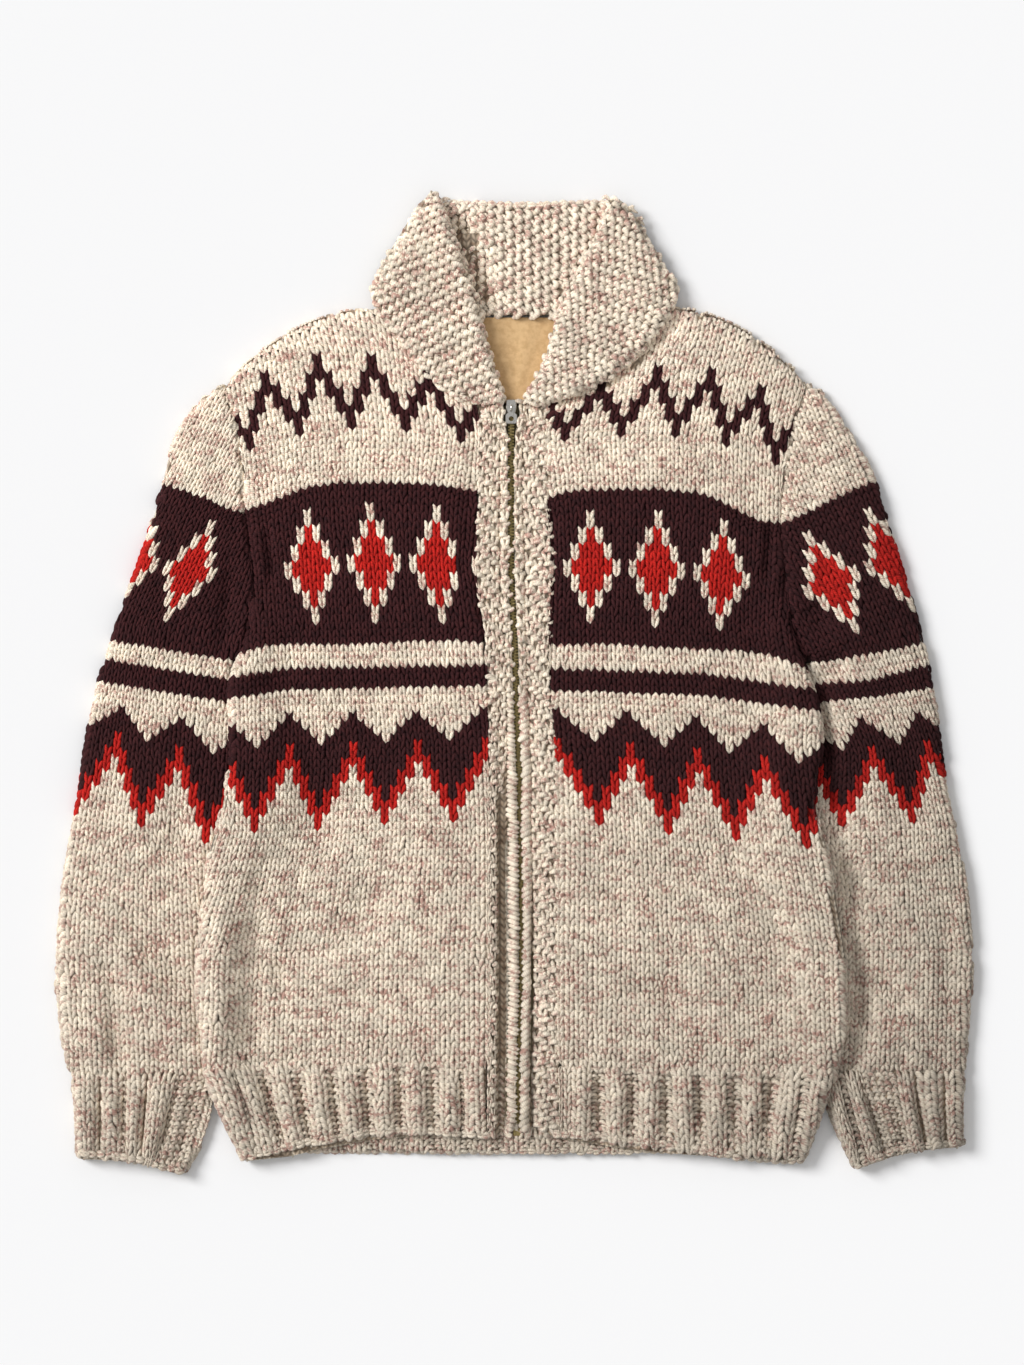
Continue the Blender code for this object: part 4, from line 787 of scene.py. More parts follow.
def stitches_at(name, shape, middle, across, up, twist, normal, yarn, rng, jitter, arch=None):
    """Copies of a stitch at places given by their middles and their own three directions.

    arch is how far the surface stands above the cell's flat middle, across and along.
    """
    arch = np.zeros((len(middle), 2)) if arch is None else arch
    count = len(middle)
    wobble = rng.normal(0.0, jitter, (count, 4))
    turn = rng.normal(0.0, jitter * 0.9, count)
    shade = rng.random(count)
    x, y, z = shape.points.T
    fat = 1.0 + wobble[:, 2:3] * 1.2
    sx = x[None] * (1.0 + 0.5 * wobble[:, 3:4]) + wobble[:, 0:1] + turn[:, None] * y[None]
    sy = y[None] + wobble[:, 1:2] - turn[:, None] * x[None]
    points = (middle[:, None] + sx[:, :, None] * across[:, None] + sy[:, :, None] * up[:, None]
              - (sx * sy)[:, :, None] * twist[:, None]
              + (z[None] * fat * MM + arch[:, :1] * (1.0 - 4.0 * np.minimum(sx ** 2, 0.25))
                 + arch[:, 1:] * (1.0 - 4.0 * np.minimum(sy ** 2, 0.25)))[:, :, None]
              * normal[:, None])
    told = np.repeat(shape.strand[None], count, 0)
    told[:, :, 2] += shade[:, None]
    facets = shape.facets[None] + (np.arange(count) * len(shape.points))[:, None, None]
    shades = np.repeat(yarn, len(shape.facets))
    return mesh_of(name, points.reshape(-1, 3), facets.reshape(-1, 4), told.reshape(-1, 3), shades)


def stitch_mesh(name, shape, corners, normals, keep, rng, yarn=None, jitter=0.05):
    """Copies of a stitch in the cells of a net, as one mesh with a material for each yarn.

    corners and normals are rows by columns by 3, the first row at the top; keep and yarn
    are one shorter each way. Without yarn, all of it is cream.
    """
    rows, columns = np.nonzero(keep)
    c00, c01 = corners[rows, columns], corners[rows, columns + 1]
    c10, c11 = corners[rows + 1, columns], corners[rows + 1, columns + 1]
    n00, n01 = normals[rows, columns], normals[rows, columns + 1]
    n10, n11 = normals[rows + 1, columns], normals[rows + 1, columns + 1]
    normal = n00 + n01 + n10 + n11
    normal /= np.linalg.norm(normal, axis=1, keepdims=True)
    middle = (c00 + c01 + c10 + c11) / 4.0
    across = (c01 + c11 - c00 - c10) / 2.0
    up = (c00 + c01 - c10 - c11) / 2.0
    arch = np.stack((((n01 + n11 - n00 - n10) / 2.0 * across).sum(1),
                     ((n00 + n01 - n10 - n11) / 2.0 * up).sum(1)), 1) / 8.0
    shades = np.zeros(len(rows), int) if yarn is None else yarn[rows, columns]
    return stitches_at(name, shape, middle, across, up, c00 + c11 - c01 - c10, normal, shades,
                       rng, jitter, np.clip(arch, -0.0012, 0.0025))


def in_sight(middles, creases, margin=1):
    """Which cells of a net nothing covers, widened by a margin of cells."""
    seen = np.zeros(middles.shape[:2], bool)
    level = middles[..., 2] - crease_height(middles, creases)
    for r, c in np.ndindex(seen.shape):
        hit = PILE.ray_cast(Vector((*middles[r, c, :2], SKY)), DOWN)[0]
        seen[r, c] = hit is None or hit.z < level[r, c] + 0.003
    for _ in range(margin):
        wide = np.pad(seen, 1)
        seen = (wide[1:-1, 1:-1] | wide[:-2, 1:-1] | wide[2:, 1:-1] | wide[1:-1, :-2]
                | wide[1:-1, 2:])
    return seen


def chart_yarn(column, row, last_diamond=LAST_DIAMOND):
    """Yarn of a stitch, as an index into YARNS: the chart of the knitting_chart group."""
    def steps(offset, period):
        return period - abs((column + offset) % (2 * period) - period)

    if BAND_ROWS[0] <= row <= BAND_ROWS[1] or STRIPE_ROWS[0] <= row <= STRIPE_ROWS[1]:
        if DIAMOND_ROWS[0] <= row <= DIAMOND_ROWS[1] and column < last_diamond:
            off_centre = 4 - steps(0, 4)
            reach = 3 - abs((row - DIAMOND_ROWS[0]) // 2 - 3)
            return 0 if off_centre == reach else (2 if off_centre < reach else 1)
        return 1
    if row < BAND_ROWS[0]:
        peak = 2 * steps(1, 3)
        return 1 if peak <= row <= peak + 2 else 0
    step, low = steps(0, 4), row - ZIGZAG_ROW
    if step <= low <= 3 + 2 * step:
        return 1
    return 2 if 4 + 2 * step <= low <= 6 + 2 * step else 0


# Width and height of the smallest and the largest cell that a stitch fits in, in metres.
LEAST_CELL, MOST_CELL = (0.0018, 0.0016), (0.016, 0.012)


def knit_over(name, body, net, columns, rows, rng, yarn_of, edge_height, margin=2):
    """Plain stitches in sight on a knitted body, in whole columns and rows of its net."""
    across = np.arange(columns[0], columns[1] + 1) - 0.5
    down = np.arange(rows[0], rows[1] + 2)
    grid_c, grid_r = np.meshgrid(across, down)
    plan = plan_of(net, grid_c.astype(float), grid_r.astype(float))
    if plan[0, 0, 0] > plan[0, -1, 0]:
        plan, grid_c = plan[:, ::-1], grid_c[:, ::-1]
    corners, normals, state = lay_on(body.surface, plan, edge_height)
    wide = cell_widths(corners)
    tall = np.linalg.norm(corners[1:, :-1] - corners[:-1, :-1], axis=-1)
    keep = (wide > LEAST_CELL[0]) & (tall > LEAST_CELL[1]) & held_by_corners(state)
    keep &= (wide < MOST_CELL[0]) & (tall < MOST_CELL[1])
    keep &= (in_sight(cell_middles(corners), body.surface.creases, margin) | round_edge(state))
    column = np.rint((grid_c[:-1, :-1] + grid_c[:-1, 1:]) / 2.0).astype(int)
    yarn = np.vectorize(yarn_of, otypes=[int])(column, grid_r[:-1, :-1])
    return stitch_mesh(name, KNIT, corners, normals, keep, rng, yarn)


def right_front_yarn(column, row):
    """The chart, but the diamond next to the right band has no outermost point there."""
    return 1 if column == 1 and row in (26, 27) else chart_yarn(column, row)


for side, seed, yarn_of, flat, area in (
        ("right", 11, right_front_yarn, (0.235, 0.605), 0.128),
        ("left", 12, chart_yarn, (0.240, 0.610), 0.130)):
    body = knitted_body("front_" + side, CHARTED_KNIT, 0.0012, BODY_CREASES[side],
                        count=body_count)
    stitches = knit_over("front_" + side + "_stitches", body, BODY_NETS[side], (-2, 36),
                         (-9, 96), np.random.default_rng(seed), yarn_of, 0.017)


# ---------------------------------------------------------------- Sleeves
# Tubes knitted down from the armhole, with the diamonds, stripe and zigzag of the body but
# no yoke zigzag. They lie flat, so one fold runs down the outside of each.

SLEEVE_NETS = {
    "right": KnitNet({
        4: ((-251.2, 210.4), (-270, 172), (-290.4, 132.8), (-317.2, 67.2), (-324.4, 48.8),
            (-334.4, -13.6), (-338.4, -32.8), (-352, -106.4), (-360, -157.6), (-363.2, -213.6),
            (-358.4, -311.2)),
        12: ((-201.6, 212), (-219.2, 175.2), (-240, 131.2), (-259.2, 90.4), (-279.2, 48.8),
             (-288.8, 2.4), (-293.6, -46.4), (-298.4, -114.4), (-301.6, -213.6),
             (-299.2, -311.2)),
        20: ((-152, 212), (-169.6, 175.2), (-190.4, 131.2), (-209.6, 90.4), (-228.8, 37.6),
             (-236.8, -5.6), (-240.8, -56.8), (-247.2, -128.8), (-240.8, -213.6),
             (-238.4, -311.2))}, {
        0: ((-255.2, 252.8), (-179.2, 230.4)),
        9: ((-267.2, 204), (-203.2, 184.8)),
        17: ((-291.2, 162.4), (-281.6, 160), (-262.4, 154.4), (-244.8, 148), (-231.2, 140.8),
             (-211.2, 135.2)),
        20: ((-287.2, 138.4), (-240, 130.4), (-211.2, 122.4)),
        34: ((-328, 61.6), (-279.2, 50.4), (-228.8, 40.8)),
        37: ((-323.2, 34.4), (-228.8, 19.2)),
        40: ((-328.8, 20), (-231.2, 4)),
        43: ((-335.2, 2.4), (-229.6, -14.4)),
        46: ((-335.2, -13.6), (-293.6, -21.6), (-240.8, -31.2)),
        50: ((-337.6, -32.8), (-293.6, -44.8), (-240.8, -55.2)),
        61: ((-352, -104.8), (-298.4, -112.8), (-247.2, -127.2)),
        98: ((-354.4, -311.2), (-240, -312.8))}),
    "left": KnitNet({
        4: ((243.2, 226.4), (263.2, 182.4), (281.6, 140.8), (303.2, 98.4), (320.8, 56.8),
            (339.2, -5.6), (352.8, -48.8), (368.8, -112.8), (384, -213.6), (383.2, -311.2)),
        12: ((193.6, 204), (212.8, 164), (232.8, 122.4), (254.4, 82.4), (275.2, 40),
             (293.6, -5.6), (308.8, -48.8), (320, -112.8), (324.8, -213.6), (323.2, -311.2)),
        20: ((144, 181.6), (163.2, 141.6), (182.4, 100), (203.2, 62.4), (224, 30.4),
             (244.8, -13.6), (263.2, -53.6), (263.2, -115.2), (267.2, -213.6), (263.2, -311.2))}, {
        0: ((176.8, 210.4), (212.8, 224.8), (249.6, 240.8)),
        9: ((199.2, 170.4), (215.2, 177.6), (236, 188), (256.8, 197.6), (272.8, 203.2)),
        17: ((219.2, 130.4), (235.2, 137.6), (256, 148), (276.8, 157.6), (292.8, 163.2)),
        20: ((219.2, 115.2), (232.8, 121.6), (256, 131.2), (281.6, 140), (300.8, 146.4)),
        34: ((228.8, 22.4), (275.2, 41.6), (320.8, 57.6), (336.8, 63.2)),
        37: ((236, 16), (294.4, 25.6), (328.8, 32.8)),
        40: ((241.6, 0), (281.6, 2.4), (331.2, 15.2)),
        43: ((245.6, -14.4), (288, -10.4), (334.4, -3.2)),
        46: ((245.6, -31.2), (279.2, -26.4), (332, -21.6)),
        50: ((263.2, -52), (308.8, -47.2), (344.8, -44)),
        61: ((263.2, -113.6), (320, -111.2), (348.8, -109.6)),
        98: ((248, -310.4), (360, -309.6))})}
# Soft folds across the forearms, and the dip beside the left front, which lies over the sleeve.
SLEEVE_CREASES = {
    "right": creases_of(
        (-331, -220, -315, -254, 9, -4.6), (-322, -258, -315, -314, 7, -5.2),
        (-309, -236, -254, -291, 9, 6), (-307, -204, -256, -248, 11, -5.6),
        (-365, -214, -354, -270, 8, 2.4), (-341, -262, -334, -310, 7, 2.4),
        (-254, -198, -249, -262, 5, -3), (-291, -14, -303, -134, 14, 2),
        (-262, -62, -275, -158, 12, -2.1), (-226, 98, -234, 26, 7, -3.9),
        (-283, -158, -315, -178, 12, 2.1), (-291, -294, -270, -322, 6, -2.4),
        (-239, 202, -263, 162, 12, 1.8), (-254, -14, -259, -94, 10, 1.5)),
    "left": creases_of(
        (245, 2, 250, -74, 7, -7.4), (251, -74, 261, -130, 8.5, -8),
        (264, -130, 273, -194, 9, -8.2), (274, -194, 279, -286, 9, -8),
        (278, -286, 266, -322, 7, -4.5), (236, 66, 250, 41, 9, -4.5),
        (262, 26, 250, -1, 9, -3.3), (271, -150, 295, -186, 11, -3.6),
        (297, -158, 331, -218, 11, 3.8), (289, -226, 315, -266, 10, -3.8),
        (303, -258, 331, -306, 10, 3.6), (345, -174, 349, -286, 8, -2.6),
        (313, -286, 309, -314, 6, -2.7), (285, -14, 293, -110, 13, 2),
        (313, -30, 321, -126, 11, -2), (245, 194, 265, 146, 12, 2))}
PLAIN_ROW = 12                  # a row of the chart that is all cream, for the sleeve cap
LAST_SLEEVE_DIAMOND = 16


def sleeve_yarn(column, row):
    return chart_yarn(column, row if row >= BAND_ROWS[0] else PLAIN_ROW, LAST_SLEEVE_DIAMOND)


def sleeve_count(points):
    """Column and row at places on the sleeves, with no zigzag above the diamonds."""
    sides = (count_at(SLEEVE_NETS[side], points) for side in ("right", "left"))
    places = np.where(points[:, :1] < 0.0, *sides)
    places[:, 1] = np.where(places[:, 1] < BAND_ROWS[0], PLAIN_ROW, places[:, 1])
    return without_diamonds(places, LAST_SLEEVE_DIAMOND)


for side, seed, flat, area in (("right", 21, (0.330, 0.555), 0.139),
                               ("left", 22, (0.310, 0.555), 0.130)):
    body = knitted_body("sleeve_" + side, CHARTED_KNIT, 0.0012, SLEEVE_CREASES[side],
                        count=sleeve_count)
    stitches = knit_over("sleeve_" + side + "_stitches", body, SLEEVE_NETS[side], (-6, 36),
                         (-26, 98), np.random.default_rng(seed), sleeve_yarn, 0.006, margin=3)


# ---------------------------------------------------------------- Cuffs
# Two plain, two purl ribbing, drawn in on smaller needles and cast off at the wrist. The purl
# columns sink between the ribs.

PLAIN_KNIT = fabric_material("plain_knit", False)

# A purl stitch: a wave of yarn, and the lower wave that it is hooked round.
WAVE = strand_shape([(-0.58, -0.10, -0.7), (-0.38, 0.10, 0.2), (-0.15, 0.22, 0.6),
                     (0.08, 0.13, 0.6), (0.30, -0.06, 0.3), (0.48, -0.17, -0.1),
                     (0.64, -0.08, -0.8)],
                    [1.2, 1.75, 2.0, 1.95, 1.8, 1.5, 1.0], [1.2, 1.9, 2.2, 2.1, 1.9, 1.5, 1.0])
UNDER_WAVE = Strand(WAVE.points * (-1.0, 1.0, 0.8) + (0.10, -0.48, -1.15),
                    WAVE.facets[:, ::-1], WAVE.strand)
RUNG = both(WAVE, UNDER_WAVE)


def ribbed(name, body, plan, plain, lift, rng, edge_height):
    """Ribbing on a net of corners in plan: plain stitches where told, purl bumps elsewhere.

    lift is how far each column's edge stands up, in millimetres.
    """
    corners, normals, state = lay_on(body.surface, plan, edge_height)
    keep = (in_sight(cell_middles(corners), body.surface.creases, 2) | round_edge(state))
    wide = cell_widths(corners)
    keep &= held_by_corners(state) & (wide > 0.0022) & (wide < 0.018)
    corners = corners + normals * (lift * MM)[None, :, None]
    corners[:, :, 2] = np.maximum(corners[:, :, 2], LOWEST)
    kind = np.broadcast_to(plain[None], keep.shape)
    return [stitch_mesh(name + "_plain", KNIT, corners, normals, keep & kind, rng),
            stitch_mesh(name + "_purl", RUNG, corners, normals, keep & ~kind, rng, jitter=0.07)]


RibLayout = namedtuple("RibLayout", "top foot plain lift")
OUTER_COLUMN, PURL_COLUMN = 6.5, 5.2        # widths of columns of ribbing, in millimetres


def rib_layout(bounds, kinds, proud):
    """Edges of the columns at the top and the foot of ribbing.

    bounds are the places where its parts meet, at the top and at the foot; kinds tells each
    part: K three plain columns, k two, p purl, g a bare groove.
    """
    edges, plain, lift = [], [], []
    bounds = np.array(bounds, float)
    outside = 2.0 * OUTER_COLUMN
    parts = ([(bounds[0] - outside, bounds[0], "e")]
             + list(zip(bounds[:-1], bounds[1:], kinds))
             + [(bounds[-1], bounds[-1] + outside, "e")])
    before = "e"
    for start, end, kind in parts:
        count = {"e": 2, "K": 3, "k": 2, "g": 1}.get(
            kind, max(1, int(round(float((end - start).mean()) / PURL_COLUMN))))
        for k in range(count):
            edges.append(start + (end - start) * k / count)
            plain.append(kind in "eKk")
            lift.append((proud if kind in "Kk" else -0.2) if k else
                        (-0.8 if "g" in (kind, before) else 0.2))
        before = kind
    edges = np.array(edges + [parts[-1][1]])
    lift.append(0.0)
    return RibLayout(edges[:, 0], edges[:, 1], np.array(plain), np.array(lift))


def rib_dips(bounds, kinds, top, foot, depth):
    """Troughs along the purl columns and the grooves, from a level at the top to the foot."""
    dips = []
    for (a, b), (c, d), kind in zip(bounds[:-1], bounds[1:], kinds):
        if kind in "pg":
            half = max(2.2, 0.22 * (c - a + d - b))
            dips.append(Crease((a + c) / 2.0, top, (b + d) / 2.0, foot, half, -depth))
    return dips


def rib_plan(layout, lines, rows, bow=0.0, shorter=0.0):
    """Corners of ribbing: its columns' edges, at levels between lines of (x0, y0, x1, y1)."""
    lines = np.array(lines, float)
    down = np.linspace(0.0, len(lines) - 1.0, rows + 1)
    index = np.minimum(down.astype(int), len(lines) - 2)
    part = (down - index)[:, None]
    ends = lines[index] * (1.0 - part) + lines[index + 1] * part
    share = (down / (len(lines) - 1.0))[:, None]
    x = layout.top[None] * (1.0 - share) + layout.foot[None] * share
    across = (x - ends[:, :1]) / (ends[:, 2:3] - ends[:, :1])
    y = ends[:, 1:2] + across * (ends[:, 3:] - ends[:, 1:2])
    fade = np.clip(down - (len(lines) - 2), 0.0, 1.0)[:, None]
    y = y + bow * fade * np.clip(4.0 * across * (1.0 - across), 0.0, 1.0) + shorter * share
    return np.stack((x, y), -1) * MM


# A cast-off chain: a wide link, and the same link turned over.
CHAIN_LINK = strand_shape([(-0.62, 0.05, -0.4), (-0.34, 0.20, 0.5), (0.0, 0.26, 0.8),
                           (0.34, 0.12, 0.7), (0.62, -0.04, 0.0)],
                          [0.9, 1.5, 1.7, 1.5, 0.9], [1.1, 1.9, 2.1, 1.8, 1.0])
CHAIN = both(CHAIN_LINK, Strand(CHAIN_LINK.points * (1.0, -1.0, 1.0),
                                CHAIN_LINK.facets[:, ::-1], CHAIN_LINK.strand))


def row_bumps(name, body, lines, width, height, rng, shape, edge_height=0.016, proud=0.0,
              jitter=0.08):
    """Stitches in rows along lines of places in metres, such as garter ridges or a cast-off."""
    middles, across, ups, normals = [], [], [], []
    for index, line in enumerate(lines):
        line = np.array(line, float)
        run = length_along(line)
        count = int(round(run[-1] / width))
        if count < 1:
            continue
        at = (np.arange(count + 1) - (0.5 if index % 2 else 0.0)) * run[-1] / count
        spots = np.stack([np.interp(at, run, line[:, k]) for k in (0, 1)], -1)
        spots[0] += (line[0] - line[1]) / np.linalg.norm(line[0] - line[1]) * max(0.0, -at[0])
        place, normal, state = lay_on(body.surface, spots, edge_height)
        along = np.gradient(place, axis=0)
        step = np.gradient(spots, axis=0)
        level = place[:, 2] - crease_height(place, body.surface.creases)
        for p, n, s, a, d, z in zip(place, normal, state, along, step, level):
            if s == OFF_PIECE or np.linalg.norm(a) < 0.45 * width:
                continue
            around = [height_of_pile(p[0] + dx * 0.009, p[1] + dy * 0.009) for dx, dy in CROSS]
            if s != ROUND_EDGE and min(around) > z + 0.004:
                continue
            n = n + (0.0, 0.0, max(0.0, 0.55 - n[2]))
            n /= np.linalg.norm(n)
            a = a - n * (a @ n)
            if np.linalg.norm(a) < 0.5 * width:
                continue
            a *= width / np.linalg.norm(a)
            u = np.cross(n, a)
            side = np.array((-d[1], d[0], 0.0))
            if side[1] < 0.0:
                side = -side
            u *= np.sign(u @ side) or 1.0
            u *= height / np.linalg.norm(u)
            middles.append(p + n * proud)
            across.append(a * (1.0 if np.cross(a, u) @ n > 0 else -1.0))
            ups.append(u)
            normals.append(n)
    middles, across, ups, normals = map(np.array, (middles, across, ups, normals))
    return stitches_at(name, shape, middles, across, ups, np.zeros_like(across), normals,
                       np.zeros(len(middles), int), rng, jitter)


def cast_off(name, body, edge, width, height, rng, edge_height, proud):
    """A chain of stitches along an edge told in millimetres."""
    return row_bumps(name + "_cast_off", body, [np.array(edge) * MM], width * MM, height * MM,
                     rng, CHAIN, edge_height, proud)


# Outer fold and inner fold of each cuff, seam to cast-off edge, in millimetres.
CUFF_LINES = {
    "right": [(-354.4, -311.5, -240.1, -313.5), (-352, -333.5, -242.5, -340),
              (-350.5, -357.5, -249, -365.5), (-349, -380, -264, -393)],
    "left": [(359.9, -310, 248.1, -311.5), (359, -333.5, 252, -340),
             (359, -353, 261, -362.5), (359, -370.5, 272, -388)]}
CUFF_BOUNDS = {     # where ribs, purl and grooves meet, at the top and at the cast-off
    "right": ([(-353.6, -350.4), (-332, -332.4), (-330.4, -330.8), (-312.8, -314),
               (-310.4, -311.2), (-294, -299.6), (-292.6, -298.2), (-269.6, -286.4),
               (-267.2, -284), (-241, -263)], "KgkgkgKgp"),
    "left": ([(249, 270.6), (258.4, 277.6), (264, 284), (275.2, 296), (277.6, 298.4),
              (305.6, 317.6), (319.2, 329.2), (321.2, 331.2), (343.2, 345.2), (344.8, 346.8),
              (359.6, 359.2)], "kpkgpkgkgk")}
CUFF_CREASES = {
    "right": creases_of(
        (-311.5, -310, -312.8, -378, 3, -1.8), (-266, -318, -285.5, -376, 3.4, -2.4),
        (-237, -322, -256, -390, 14, -8.4)),
    "left": creases_of(
        (277, -326, 297, -374, 3.4, -2.4), (308, -364, 307.2, -376, 4, -4.6),
        (320.5, -326, 330, -372, 2.8, -1.6), (296, -334, 306, -358, 8, -1.4))}
CUFF_EDGES = {
    "right": [(-349.5, -374.5), (-330, -376.5), (-305, -379.5), (-285, -385.5),
              (-268.5, -390.5)],
    "left": [(358, -367.6), (330, -368.8), (310, -373), (292, -379.5), (275.5, -385.8)]}

for side, seed, flat, area in (("right", 31, (0.230, 0.085), 0.0170),
                               ("left", 32, (0.220, 0.085), 0.0162)):
    name = "cuff_" + side
    body = knitted_body(name, PLAIN_KNIT, 0.0010, CUFF_CREASES[side]
                        + rib_dips(*CUFF_BOUNDS[side], -316, -376, 2.4))
    rng = np.random.default_rng(seed)
    layout = rib_layout(*CUFF_BOUNDS[side], 1.7)
    knitted = ribbed(name, body, rib_plan(layout, CUFF_LINES[side], 12, 2.0, 2.0),
                     layout.plain, layout.lift, rng, 0.007)
    knitted.append(cast_off(name, body, CUFF_EDGES[side], 6.4, 6.0, rng, 0.007, 0.0009))


# ---------------------------------------------------------------- Hem ribbing
# The same ribbing along the bottom of both fronts and of the back, which hangs a little lower.
# It was knitted on smaller needles, and its cast-off edge makes a chain along the bottom.

def evenly_ribbed(top, foot, half):
    """Bounds and kinds of ribbing whose ribs have their middles at these places."""
    bounds, kinds = [], ""
    for high, low in zip(top, foot):
        bounds += [(high - half, low - half), (high + half, low + half)]
        kinds += "kp"
    return bounds, kinds[:-1]


HEM_LINES = {       # inner end, then side end, of each line from the seam to the cast-off edge
    "right": [(-21.6, -302.5, -247, -309), (-21.6, -322.5, -239, -333),
              (-21.6, -342.5, -229, -356), (-21.6, -363, -217, -382.5)],
    "left": [(36, -306.5, 257.5, -312), (36, -325.5, 247, -336),
             (36, -345, 239, -359), (36, -364, 230.5, -383)]}
HEM_RIBS = {        # middles of the ribs at the seam and at the cast-off, right to left
    "right": ((-235.2, -216, -188.8, -160, -133.6, -105.2, -79.2, -52, -32),
              (-212, -196, -174.8, -152, -128, -103.4, -77.6, -50.8, -30.8)),
    "left": ((54, 81, 107.4, 134.2, 160.8, 190.6, 221.6, 246.4),
             (53.6, 82.2, 108.4, 136.6, 163.6, 190, 213.6, 235))}
HEM_BOW = {"right": 6, "left": -4}
HEM_EDGES = {
    "right": [(-216, -379.5), (-190.4, -373.5), (-166.4, -368.5), (-126.4, -361),
              (-96, -357.5), (-51.2, -360), (-20, -361)],
    "left": [(35, -361), (68.8, -362.5), (108, -368), (148.8, -374.5), (180, -378.5),
             (213.6, -381.5), (229, -380.5)]}
BACK_HEM_LINES = [(-250, -300, 262, -300), (-240, -340, 255, -340),
                  (-221, -374, 234, -375)]
BACK_HEM_EDGE = [(-210, -372.4), (-180, -374), (-90, -374.6), (0, -374.8),
                 (60, -375), (150, -374.4), (205, -372.6)]
BACK_HEM_RIBS = ((-200, -174.4, -150.4, -126.4, -100.8, -76, -50.4, -25.6, 0, 25.6, 53,
                  80, 106, 132, 158, 186, 212),
                 (-196, -172, -149, -125.6, -100.8, -76, -50.4, -25.6, 0, 25.6, 53,
                  81, 107.4, 134, 160, 187, 210))

body = knitted_body("hem_rib_back", PLAIN_KNIT, 0.0010)
rng = np.random.default_rng(46)
layout = rib_layout(*evenly_ribbed(*BACK_HEM_RIBS, 7.8), 0.9)
knitted = ribbed("back_hem", body, rib_plan(layout, BACK_HEM_LINES, 14), layout.plain,
                 layout.lift, rng, 0.003)
knitted.append(cast_off("back_hem", body, BACK_HEM_EDGE, 6.6, 5.6, rng, 0.003, 0.0004))
for side, seed, flat, area in (("right", 41, (0.225, 0.078), 0.0160),
                               ("left", 42, (0.225, 0.078), 0.0162)):
    name = "hem_" + side
    bounds, kinds = evenly_ribbed(*HEM_RIBS[side], 7.9)
    body = knitted_body("hem_rib_" + side, PLAIN_KNIT, 0.0010,
                        rib_dips(bounds, kinds, -310, -362, 4.3))
    rng = np.random.default_rng(seed)
    layout = rib_layout(bounds, kinds, 2.0)
    plan = rib_plan(layout, HEM_LINES[side], 11, HEM_BOW[side], 3.4)
    knitted = ribbed(name, body, plan, layout.plain, layout.lift, rng, 0.010)
    knitted.append(cast_off(name, body, HEM_EDGES[side], 6.6, 6.2, rng, 0.010, 0.0008))


# ---------------------------------------------------------------- Front bands
# Bands in moss stitch, of the same cream wool, knitted on to each front. Each is rolled over
# at the edge that the zip is sewn to, with a furrow beside the roll on the right band.

# Level, seam and zip edge of the right band and of the left band, in millimetres.
BAND_LINES = {
    "right": [(222.5, -28.2, -8), (208.5, -28.2, -7.6), (202, -28.2, -5.2), (172, -28.5, -4.6),
              (140, -29.2, -4.4), (108, -31.1, -4.4), (74.5, -29.7, -3.6),
              (42.5, -24.5, -2.2), (9.5, -21.3, -0.7), (-18.5, -21.3, 0),
              (-47, -21.3, 1), (-77.5, -21.3, 2.4), (-117.5, -21.3, 3.2),
              (-157.5, -21.3, 4), (-195, -21.3, 4.4), (-247, -21.3, 4),
              (-281.5, -21.3, 2.8), (-313.5, -21.3, 2), (-353, -21.3, 1.6),
              (-363, -21.3, -2)],
    "left": [(222.5, 25.3, 4), (208.5, 25.3, 3.6), (202, 25.3, 0.4), (172, 25.4, -0.2),
             (140, 27.3, 0), (108, 30.4, 0), (74.5, 30.3, 0.7),
             (42.5, 28.3, 2.1), (9.5, 27.8, 3.7), (-18.5, 30, 4.4), (-47, 33, 5.3),
             (-77.5, 34.1, 6.8), (-117.5, 34.5, 6.4), (-157.5, 34.8, 7.2),
             (-195, 34.9, 7.6), (-247, 35.3, 7.2), (-281.5, 35.7, 6),
             (-313.5, 35.7, 5.2), (-353, 35.7, 4.8), (-363, 35.7, 8.4)]}
# Level, and how far each column of moss stitch stands from the seam towards the zip's edge.
MOSS_COLUMNS = {
    "right": [(222.5, -0.04, 0.22, 0.46, 0.70), (-55, -0.04, 0.22, 0.46, 0.70),
              (-95, -0.04, 0.13, 0.28, 0.42), (-363, -0.04, 0.13, 0.28, 0.42)],
    "left": [(222.5, -0.04, 0.24, 0.49, 0.73), (-150, -0.04, 0.24, 0.49, 0.73),
             (-200, -0.04, 0.22, 0.46, 0.70), (-363, -0.04, 0.22, 0.46, 0.70)]}
MOSS_EDGE = {
    "right": [(222.5, 0.70, 1), (-363, 0.70, 1)],
    "left": [(222.5, 0.73, 1), (-363, 0.73, 1)]}
ROLL_EDGE = {
    "right": [(222.5, 0.72, 1), (-55, 0.72, 1), (-95, 0.68, 1), (-363, 0.68, 1)],
    "left": [(222.5, 0.75, 1), (-150, 0.75, 1), (-200, 0.80, 1), (-363, 0.80, 1)]}
MOSS_ROWS = 104
ROLL_ROWS = {"right": 152, "left": 122}
ROLL_TOP = -0.010               # above this, in metres, the edge is in moss stitch as well
FURROW_TOP = {"right": -0.088, "left": -1.0}    # below this, no stitch stands in the furrow
# The furrow beside each rolled edge, deep below the waist on the right band.
BAND_CREASES = {
    "right": creases_of(
        (-12, -40, -12, -440, 2.9, -4.2), (-7.6, -40, -7.6, -440, 2.9, -4.2),
        (-18.4, -40, -18.4, -440, 3, 1.4), (0.5, -60, 0.5, -440, 3, 0.8),
        (-13.5, 190, -13, -96, 2.6, -0.8)),
    "left": creases_of(
        (14.3, -160, 14.4, -440, 2.4, -4), (11, 190, 13, -180, 2.4, -0.8),
        (29, -90, 29, -290, 5, 1))}
